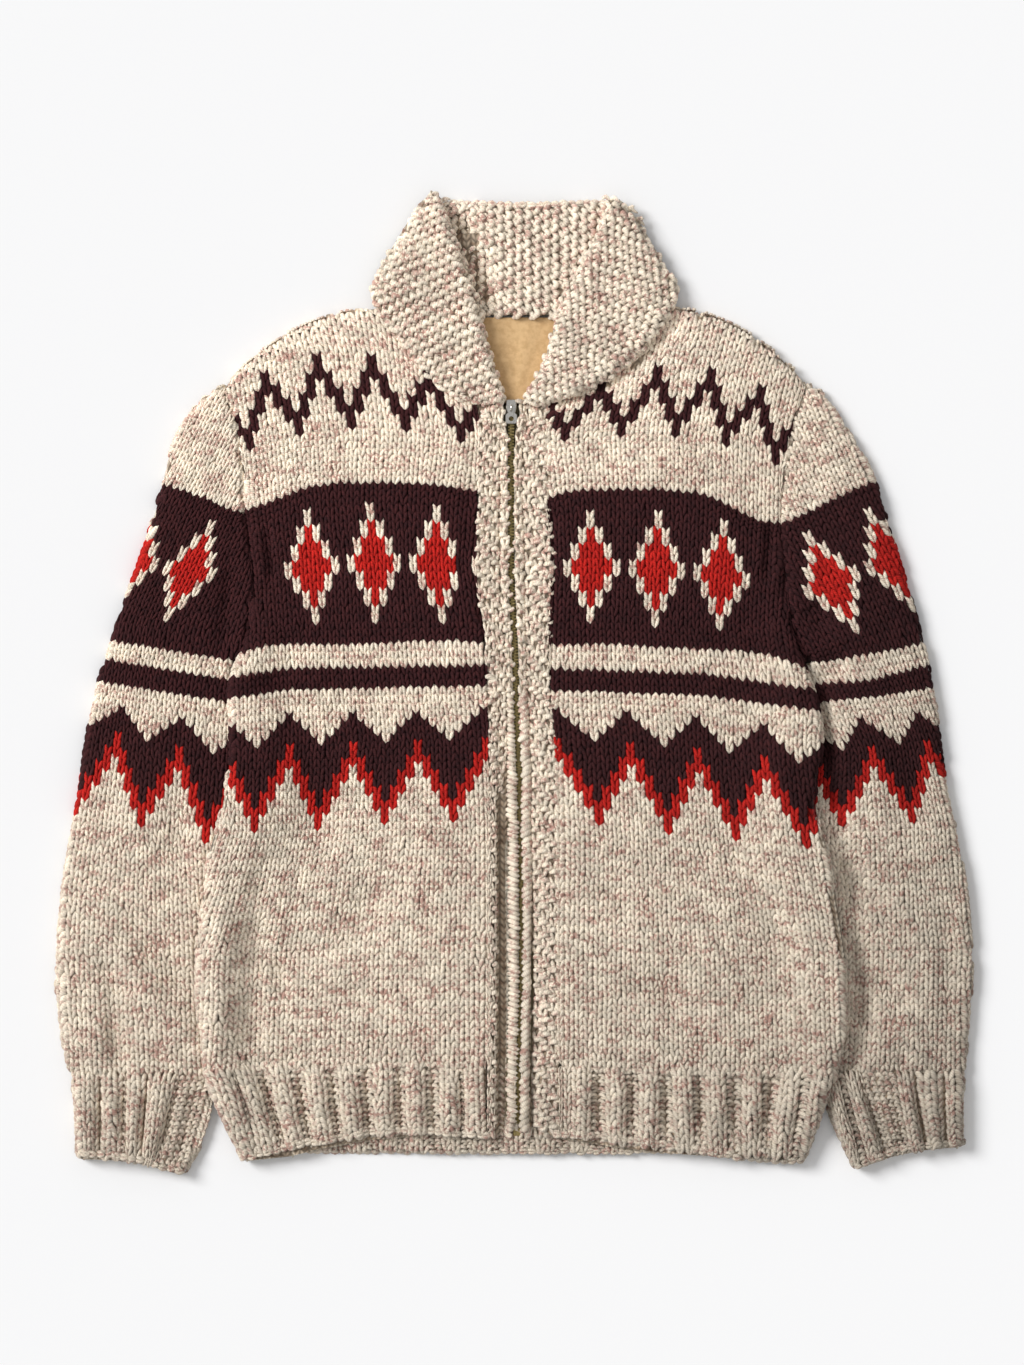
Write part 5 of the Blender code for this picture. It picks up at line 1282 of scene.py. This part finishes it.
# The raised bump and the sunk V of moss stitch, and the cord of each rolled edge.
PEARL = both(
    strand_shape([(-0.50, -0.22, -0.8), (-0.24, 0.04, 0.6), (0.03, 0.14, 1.1), (0.28, 0.06, 0.6),
                  (0.52, -0.16, -0.8)], [1.3, 2.3, 2.6, 2.3, 1.3], [1.4, 2.5, 2.8, 2.5, 1.4]),
    strand_shape([(0.12, -0.12, -0.8), (0.30, -0.38, -0.2), (0.50, -0.46, 0.0),
                  (0.70, -0.38, -0.2), (0.88, -0.12, -0.8)],
                 [1.1, 1.9, 2.1, 1.9, 1.1], [1.2, 1.9, 2.1, 1.9, 1.2]))
SUNK_KNIT = Strand(KNIT.points * (1.05, 1.0, 0.75) - (0.0, 0.0, 0.55), KNIT.facets, KNIT.strand)
ROLLED = {
    "right": strand_shape([(-0.54, 0.62, -1.2), (-0.36, 0.36, 0.0), (-0.10, 0.10, 0.3),
                           (0.12, -0.12, 0.3), (0.36, -0.30, 0.0), (0.54, -0.50, -1.2)],
                          [1.7, 2.7, 3.1, 3.1, 2.7, 1.7], [1.0, 1.5, 1.7, 1.7, 1.5, 1.0]),
    "left": strand_shape([(-0.55, -0.80, -1.2), (-0.36, -0.44, 0.0), (-0.12, -0.16, 0.4),
                          (0.12, 0.18, 0.4), (0.36, 0.44, 0.0), (0.56, 0.80, -1.2)],
                         [1.8, 2.9, 3.4, 3.4, 2.9, 1.8], [1.1, 1.7, 2.0, 2.0, 1.7, 1.1])}


def band_plan(lines, columns, rows):
    """Corners of a net on a band, from tables of its edges and of its columns at levels."""
    table, shares = np.array(lines)[::-1], np.array(columns)[::-1]
    y = np.linspace(table[-1, 0], table[0, 0], rows + 1)
    seam, edge = (np.interp(y, table[:, 0], table[:, k]) for k in (1, 2))
    x = np.stack([seam + (edge - seam) * np.interp(y, shares[:, 0], shares[:, k])
                  for k in range(1, shares.shape[1])], 1)
    return np.stack((x, np.broadcast_to(y[:, None], x.shape)), -1) * MM


def band_edge(body, side, rows, columns, reach):
    """A column of cells along the edge beside the zip, rounded over it.

    reach is how far it goes past the wall's edge, in millimetres.
    """
    toward = 1.0 if side == "right" else -1.0
    plan = band_plan(BAND_LINES[side], columns, rows)
    plan[:, 1, 0] -= toward * 2.6 * MM
    corners, normals, _ = lay_on(body.surface, plan, 0.009, close=0.0)
    corners[:, 1] += np.array((toward * (2.6 + reach), 0.0, -1.0)) * MM
    normals[:, 0, 0] -= toward * 0.25
    normals[:, 1, 0] += toward * 0.55
    if side == "left":
        corners, normals = corners[:, ::-1], normals[:, ::-1]
    return corners, normals


def moss_stitch(name, corners, normals, keep, purl, rng):
    """Purl bumps and sunk plain stitches in turn."""
    return [stitch_mesh(name + "_purl", PEARL, corners, normals, keep & purl, rng, jitter=0.12),
            stitch_mesh(name + "_plain", SUNK_KNIT, corners, normals, keep & ~purl, rng,
                        jitter=0.12)]


def rolled_edge(name, body, side, rng):
    """The edge beside the zip: in moss stitch at the top, rolled over into a cord below."""
    corners, normals = band_edge(body, side, MOSS_ROWS, MOSS_EDGE[side], -0.9)
    purl = np.arange(MOSS_ROWS)[:, None] % 2 == (0 if side == "right" else 1)
    moss = moss_stitch(name, corners, normals, corners[1:, :1, 1] > ROLL_TOP, purl, rng)
    corners, normals = band_edge(body, side, ROLL_ROWS[side], ROLL_EDGE[side],
                                 -0.8 if side == "right" else -0.4)
    corners = corners + np.array((0.0, 0.0, 0.4 * MM))
    return moss + [stitch_mesh(name + "_roll", ROLLED[side], corners, normals,
                               corners[1:, :1, 1] <= ROLL_TOP, rng, jitter=0.08)]


for side, seed, flat in (("right", 51, (0.029, 0.590)), ("left", 52, (0.0315, 0.590))):
    name = "band_" + side
    body = knitted_body(name, PLAIN_KNIT, 0.0008, BAND_CREASES[side])
    rng = np.random.default_rng(seed)
    plan = band_plan(BAND_LINES[side], MOSS_COLUMNS[side], MOSS_ROWS)
    if side == "left":
        plan = plan[:, ::-1]
    corners, normals, state = lay_on(body.surface, plan, 0.009, close=0.0025)
    keep = in_sight(cell_middles(corners), body.surface.creases) | round_edge(state)
    inner = -1 if side == "right" else 0
    keep[:, inner] &= corners[1:, 0, 1] > FURROW_TOP[side]
    r, c = np.indices(keep.shape)
    knitted = moss_stitch(name, corners, normals, keep, (r + c) % 2 == 0, rng)
    knitted += rolled_edge(name + "_edge", body, side, rng)


# ---------------------------------------------------------------- Shawl collar
# A thick collar in garter stitch, folded over on itself, its lapels lying on the fronts. Its
# ridges run along it, so they lie across the lapels and stand upright at the back neck.

# Outer edge and fold of each lapel, from the back neck down, in millimetres.
LAPEL_EDGES = {
    "right": [
        (-68.8, 392), (-84, 372.8), (-102.4, 341.6), (-116.8, 323.2), (-112, 302.4),
        (-96.8, 284.8), (-85.6, 266.4), (-69.6, 249.6), (-56.8, 236.8), (-41.6, 226.4),
        (-27.2, 224), (-7.2, 224.8)],
    "left": [
        (80.8, 388), (92, 380), (104.8, 362.4), (121.6, 334.4), (132, 316),
        (128.8, 303.2), (117.6, 283.2), (99.2, 264.8), (80.8, 248), (63.2, 239.2),
        (44.8, 232), (16.8, 222.4)]}
LAPEL_FOLDS = {
    "right": [
        (-60.8, 389.6), (-56, 382.4), (-49.6, 365.6), (-44.8, 354.4), (-40, 336.8),
        (-33.6, 320.8), (-27.2, 298.4), (-20.8, 276), (-15.2, 256.8), (-10.4, 240.8),
        (-8, 232.8), (-6.4, 227.2)],
    "left": [
        (73.6, 387.2), (71.2, 381.6), (68.8, 374.4), (62.4, 362.4), (55.2, 344.8),
        (48.8, 332), (41.6, 316), (34.4, 296), (28, 274.4), (21.6, 255.2),
        (13.6, 238.4), (5.6, 226.4)]}
# The folds stand up in a thick roll, and the neck inside sinks beside the right one.
LAPEL_CREASES = {
    "right": creases_of(
        (-64, 384, -53, 358, 6.5, 4.4), (-54, 361, -42, 324, 6.5, 5.6),
        (-43, 326, -29, 282, 6.5, 5.4), (-30, 286, -18, 249, 5.5, 3.6),
        (-91, 354, -103, 314, 14, 1.2)),
    "left": creases_of(
        (78, 382, 67, 354, 6, 2), (66, 358, 53, 318, 6.5, 2.2), (51, 322, 37, 278, 6.5, 2.2),
        (35, 282, 26, 249, 5.5, 1.6), (109, 338, 101, 298, 14, 1.2),
        (124, 306, 112, 286, 5, 1.6), (112, 286, 94, 269, 5, 1.6), (94, 269, 77, 253, 5, 1.6),
        (77, 253, 58, 243, 5, 1.6), (58, 243, 32, 233, 5, 1.4))}
NECK_CREASES = creases_of(
    (-49, 380, -39, 352, 9, -6.4), (-37, 352, -20, 296, 11, -7.6), (-11, 374, -14, 306, 9, 0.8))
NECK_EDGE = [(x * MM, y * MM) for x, y in (
    (-55.2, 388), (-28.8, 383.2), (4, 381.6), (44.8, 383.2), (71.2, 386.4))]


def ridge_lines(outer, fold, count):
    """Evenly set lines between an edge and a fold, each a list of places in metres."""
    outer, fold = np.array(outer) * MM, np.array(fold) * MM
    along = length_along((outer + fold) / 2.0)
    return [[[np.interp(d, along, ends[:, k]) for k in (0, 1)] for ends in (outer, fold)]
            for d in np.linspace(0.0, along[-1] + 0.002, count)]


GARTER = both(Strand(WAVE.points * (1.04, 1.12, 1.0), WAVE.facets, WAVE.strand),
              Strand(UNDER_WAVE.points - (0.0, 0.02, 0.75), UNDER_WAVE.facets, UNDER_WAVE.strand))
edge_x, edge_y = np.array(NECK_EDGE).T
back_lines = [((x * MM, np.interp(x * MM, edge_x, edge_y) - 0.0045), (x * MM, 0.2955))
              for x in np.arange(-56.5, 79.0, 7.44)]
body = knitted_body("collar_back", PLAIN_KNIT, 0.0010, NECK_CREASES, held_out=0.0012)
knitted = [row_bumps("collar_back_ridges", body, back_lines, 7.2 * MM, 7.4 * MM,
                     np.random.default_rng(63), GARTER, 0.006, jitter=0.055),
           row_bumps("collar_back_edge", body, [NECK_EDGE], 6.4 * MM, 6.0 * MM,
                     np.random.default_rng(64), CHAIN, 0.006, 0.0006)]
for side, seed, flat, area in (("right", 61, (0.085, 0.165), 0.0102),
                               ("left", 62, (0.090, 0.170), 0.0110)):
    body = knitted_body("collar_" + side, PLAIN_KNIT, 0.0012, LAPEL_CREASES[side],
                        held_out=0.0010)
    lines = ridge_lines(LAPEL_EDGES[side], LAPEL_FOLDS[side], 27)
    ridges = row_bumps("collar_" + side + "_ridges", body, lines, 6.2 * MM, 7.2 * MM,
                       np.random.default_rng(seed), GARTER, jitter=0.055)


# ---------------------------------------------------------------- Zip
# A brass zip: two woven tapes sewn under the bands, each with a row of teeth clamped on its
# corded edge. It is closed all the way up.

ZIP_LINE = [(222.5, -2), (205.5, -2.2), (201, -2.4), (146.5, -2.4), (89, -2.4),
            (53.5, -0.8), (27, 0.8), (-5.5, 1.6), (-42.5, 2.8), (-77.5, 4.4), (-117.5, 4.8),
            (-157.5, 5.6), (-195, 6), (-247, 5.6), (-281.5, 4.4), (-313.5, 3.6),
            (-354.5, 3.2)]
ZIP_Y, ZIP_X = np.array(ZIP_LINE)[::-1].T
ZIP_FOOT = -353.5
TOOTH_PITCH = 2.5
TOOTH_LEVEL = 7.9


def metal_material(name, colour, dull, roughness):
    """Worn metal: bright where it is rubbed, duller in patches."""
    material, tree, shader = new_material(name)
    wear = noise_node(tree, place_on_garment(tree), 900.0, 3.0, 0.6)
    tone = blend_colour(tree, ramp_between(tree, wear, 0.42, 0.68), colour, dull)
    rough = math_node(tree, "MULTIPLY_ADD", wear, 0.3, roughness - 0.12)
    feed(tree, shader, {"Base Color": tone, "Roughness": rough, "Metallic": 1.0})
    return material


def thread_wave(tree, place, pitch):
    """A wave over threads set at a pitch in metres."""
    return math_node(tree, "SINE", math_node(tree, "MULTIPLY", place, 2.0 * math.pi / pitch))


def tape_material():
    """Woven khaki tape, in fine ribs across."""
    material, tree, shader = new_material("zip_tape")
    rib = thread_wave(tree, split_vector(tree, place_on_garment(tree))[1], 0.0011)
    tone = blend_colour(tree, math_node(tree, "MULTIPLY_ADD", rib, 0.10, 0.5),
                        (0.10, 0.085, 0.045), (0.19, 0.16, 0.09))
    feed(tree, shader, {"Base Color": tone, "Normal": relief(tree, 0.5, 0.0003, rib),
                        "Roughness": 0.9})
    return material


BRASS = metal_material("old_brass", (0.40, 0.31, 0.13), (0.22, 0.17, 0.08), 0.42)
TAPE = tape_material()


def finish_solid(node, material):
    """A rigid piece that keeps its solid's own shape."""
    solids[node].data.materials.clear()
    solids[node].data.materials.append(material)


def zip_centre(y):
    return np.interp(y, ZIP_Y, ZIP_X)


def plain_object(name, points, faces, material):
    mesh = bpy.data.meshes.new(name)
    mesh.from_pydata([tuple(p) for p in points], [], [tuple(face) for face in faces])
    mesh.update()
    mesh.materials.append(material)
    made = bpy.data.objects.new(name, mesh)
    scene.collection.objects.link(made)
    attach(made, "garment")
    return made


def zip_tape(side, sign):
    """A tape with the round cord that the teeth are clamped on."""
    section = [(0.25, 5.5), (10.0, 5.5), (10.0, 6.1), (3.2, 6.15), (2.7, 6.9), (1.8, 7.2),
               (0.9, 7.0), (0.4, 6.4)]
    levels = np.arange(222.0, -354.6, -6.0)
    points = [((zip_centre(y) + sign * x) * MM, y * MM, h * MM)
              for y in levels for x, h in section]
    size = len(section)
    faces = [(s * size + i, s * size + (i + 1) % size, (s + 1) * size + (i + 1) % size,
              (s + 1) * size + i) for s in range(len(levels) - 1) for i in range(size)]
    faces += [tuple(range(size)), tuple(range(len(points) - size, len(points)))]
    tape = plain_object("zip_" + side + "_tape", points, faces, TAPE)
    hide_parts("zip_" + side)
    return tape


def zip_teeth(side, sign, first):
    """Teeth clamped over the cord: each a leg with a rounded head past the middle."""
    tooth = np.array([(2.6, -0.75, 6.4), (2.6, 0.75, 6.4), (2.4, 0.62, TOOTH_LEVEL + 0.9),
                      (2.4, -0.62, TOOTH_LEVEL + 0.9), (-0.2, -0.55, 6.4), (-0.2, 0.55, 6.4),
                      (-0.1, 0.45, TOOTH_LEVEL + 0.7), (-0.1, -0.45, TOOTH_LEVEL + 0.7),
                      (-1.1, -0.7, 6.6), (-1.1, 0.7, 6.6), (-1.0, 0.6, TOOTH_LEVEL + 0.5),
                      (-1.0, -0.6, TOOTH_LEVEL + 0.5)])
    quads = [(0, 1, 2, 3), (0, 4, 5, 1), (1, 5, 6, 2), (2, 6, 7, 3), (3, 7, 4, 0),
             (4, 8, 9, 5), (5, 9, 10, 6), (6, 10, 11, 7), (7, 11, 8, 4), (8, 11, 10, 9)]
    points, faces = [], []
    for y in np.arange(first, ZIP_FOOT, -TOOTH_PITCH):
        start = len(points)
        points += [((zip_centre(y) + sign * x) * MM, (y + dy) * MM, h * MM) for x, dy, h in tooth]
        faces += [tuple(start + i for i in quad) for quad in quads]
    return plain_object("zip_" + side + "_teeth", points, faces, BRASS)


for side, sign, first in (("right", -1.0, 215.0), ("left", 1.0, 213.75)):
    tape = zip_tape(side, sign)
    teeth = zip_teeth(side, sign, first)
finish_solid("zip_stop", BRASS)


# ---------------------------------------------------------------- Neck facing
# A shaped piece of plain-woven tan cotton that faces the inside of the back neck. It is
# sewn down under the collar and shows in the V of the neck.

def cotton_material():
    """Plain weave: threads over and under, a little uneven."""
    material, tree, shader = new_material("tan_cotton_weave")
    place = place_on_garment(tree)
    warp, weft, _ = (thread_wave(tree, axis, 0.0012) for axis in split_vector(tree, place))
    weave = math_node(tree, "MULTIPLY", warp, weft)
    slub = noise_node(tree, place, 260.0, 3.0, 0.6)
    tone = blend_colour(tree, ramp_between(tree, slub, 0.35, 0.7),
                        (0.755, 0.50, 0.25), (0.64, 0.40, 0.185))
    height = math_node(tree, "ADD", weave, math_node(tree, "MULTIPLY", slub, 1.5))
    feed(tree, shader, {"Base Color": tone, "Normal": relief(tree, 0.35, 0.0004, height),
                        "Roughness": 0.88, "Sheen Weight": 0.12})
    return material


COTTON = cotton_material()
# Level, right edge and left edge of the facing, in millimetres.
FACING_ROWS = [(292.8, -37, 46.5), (270.5, -29, 41.5), (249, -22.5, 33.5),
               (229.5, -12, 17), (224, -6.5, 5)]
FACING_FOLDS = creases_of(
    (-24, 286, -8, 236, 5, -0.7), (-2, 268, -2, 226, 4.5, -0.9), (12, 286, 4, 240, 6, 0.6),
    (30, 284, 12, 240, 6, -0.5), (-14, 290, -12, 250, 6, 0.6))
FACING_POINTS = 49              # along each side of its grid
FACING_TOP, FACING_UNDER = 6.1, 5.35


def neck_facing():
    """A thin sheet with both its sides and its rim, in soft folds."""
    n = FACING_POINTS
    table = np.array(FACING_ROWS)[::-1]
    levels = np.linspace(FACING_ROWS[0][0], FACING_ROWS[-1][0], n)
    right, left = (np.interp(levels, table[:, 0], table[:, k]) for k in (1, 2))
    share = np.linspace(0.0, 1.0, n)
    x = right[:, None] + (left - right)[:, None] * share[None]
    y = np.broadcast_to(levels[:, None], x.shape)
    raised = np.zeros(x.shape)
    for fold in FACING_FOLDS:
        run = np.array((fold.x1 - fold.x0, fold.y1 - fold.y0))
        along = np.clip(((x - fold.x0) * run[0] + (y - fold.y0) * run[1]) / (run @ run), 0.0, 1.0)
        away = np.hypot(x - fold.x0 - along * run[0], y - fold.y0 - along * run[1])
        raised += fold.height * np.exp(-(away / fold.half_width) ** 2)
    edge = np.minimum(np.minimum(share, 1.0 - share)[None], 0.1) / 0.1
    raised = np.clip(raised * edge, -0.2, 1.2)
    top = np.stack((x, y, FACING_TOP + raised), -1).reshape(-1, 3)
    low = np.stack((x, y, FACING_UNDER + np.maximum(raised, 0.0)), -1).reshape(-1, 3)
    faces = [(i * n + j, (i + 1) * n + j, (i + 1) * n + j + 1, i * n + j + 1)
             for i in range(n - 1) for j in range(n - 1)]
    under = [tuple(n * n + k for k in reversed(face)) for face in faces]
    rim = [i * n for i in range(n)] + [(n - 1) * n + j for j in range(1, n)] \
        + [i * n + n - 1 for i in range(n - 2, -1, -1)] + list(range(n - 2, 0, -1))
    sides = [(b, a, a + n * n, b + n * n) for a, b in zip(rim, rim[1:] + rim[:1])]
    facing = plain_object("neck_facing", np.vstack((top, low)) * MM, faces + under + sides,
                          COTTON)
    facing.data.shade_smooth()
    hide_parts("lining")
    return facing


neck_facing()


# ---------------------------------------------------------------- Slider and pull tab
# A cast slider, nickel plated and worn. Its bail carries a flat stamped pull with a round
# hole, which swings up and over on the bail.

NICKEL = metal_material("worn_nickel", (0.66, 0.64, 0.60), (0.46, 0.44, 0.40), 0.34)
finish_solid("zip_slider", NICKEL)
finish_solid("zip_pull", NICKEL)


# ---------------------------------------------------------------- Surface, light and camera
# The cardigan lies on a pale, even surface, under a wide soft light from the upper left.
# The camera looks straight down.

surface_mesh = bpy.data.meshes.new("surface")
grid = bmesh.new()
bmesh.ops.create_grid(grid, x_segments=1, y_segments=1, size=3.0)
grid.to_mesh(surface_mesh)
grid.free()
paper, _, paper_shader = new_material("pale_surface")
paper_shader.inputs["Base Color"].default_value = (0.915, 0.915, 0.92, 1.0)
paper_shader.inputs["Roughness"].default_value = 0.9
surface_mesh.materials.append(paper)
surface = bpy.data.objects.new("surface", surface_mesh)
surface.location = (0.0, 0.0, -0.0002)
scene.collection.objects.link(surface)

world = bpy.data.worlds.new("studio")
world.use_nodes = True
world.node_tree.nodes["Background"].inputs["Color"].default_value = (1.0, 1.0, 1.0, 1.0)
world.node_tree.nodes["Background"].inputs["Strength"].default_value = 0.50
scene.world = world

window = bpy.data.lights.new("window_light", "SUN")
window.angle = math.radians(26.0)
window.energy = 2.75
window_holder = bpy.data.objects.new("window_light", window)
window_holder.rotation_euler = Vector((-0.82, 0.42, 0.70)).to_track_quat("Z", "Y").to_euler()
scene.collection.objects.link(window_holder)

CAMERA_HEIGHT = 4.0
FRAME_HEIGHT = 1.092            # from the top to the bottom of the view, at the garment
GARMENT_LEVEL = 0.011
FILM_HEIGHT = 24.0
camera_data = bpy.data.cameras.new("overhead")
camera_data.sensor_fit = "VERTICAL"
camera_data.sensor_height = FILM_HEIGHT
camera_data.lens = FILM_HEIGHT * (CAMERA_HEIGHT - GARMENT_LEVEL) / FRAME_HEIGHT
camera = bpy.data.objects.new("overhead", camera_data)
camera.location = (-0.0016, 0.0004, CAMERA_HEIGHT)
scene.collection.objects.link(camera)
scene.camera = camera
scene.view_settings.view_transform = "Standard"
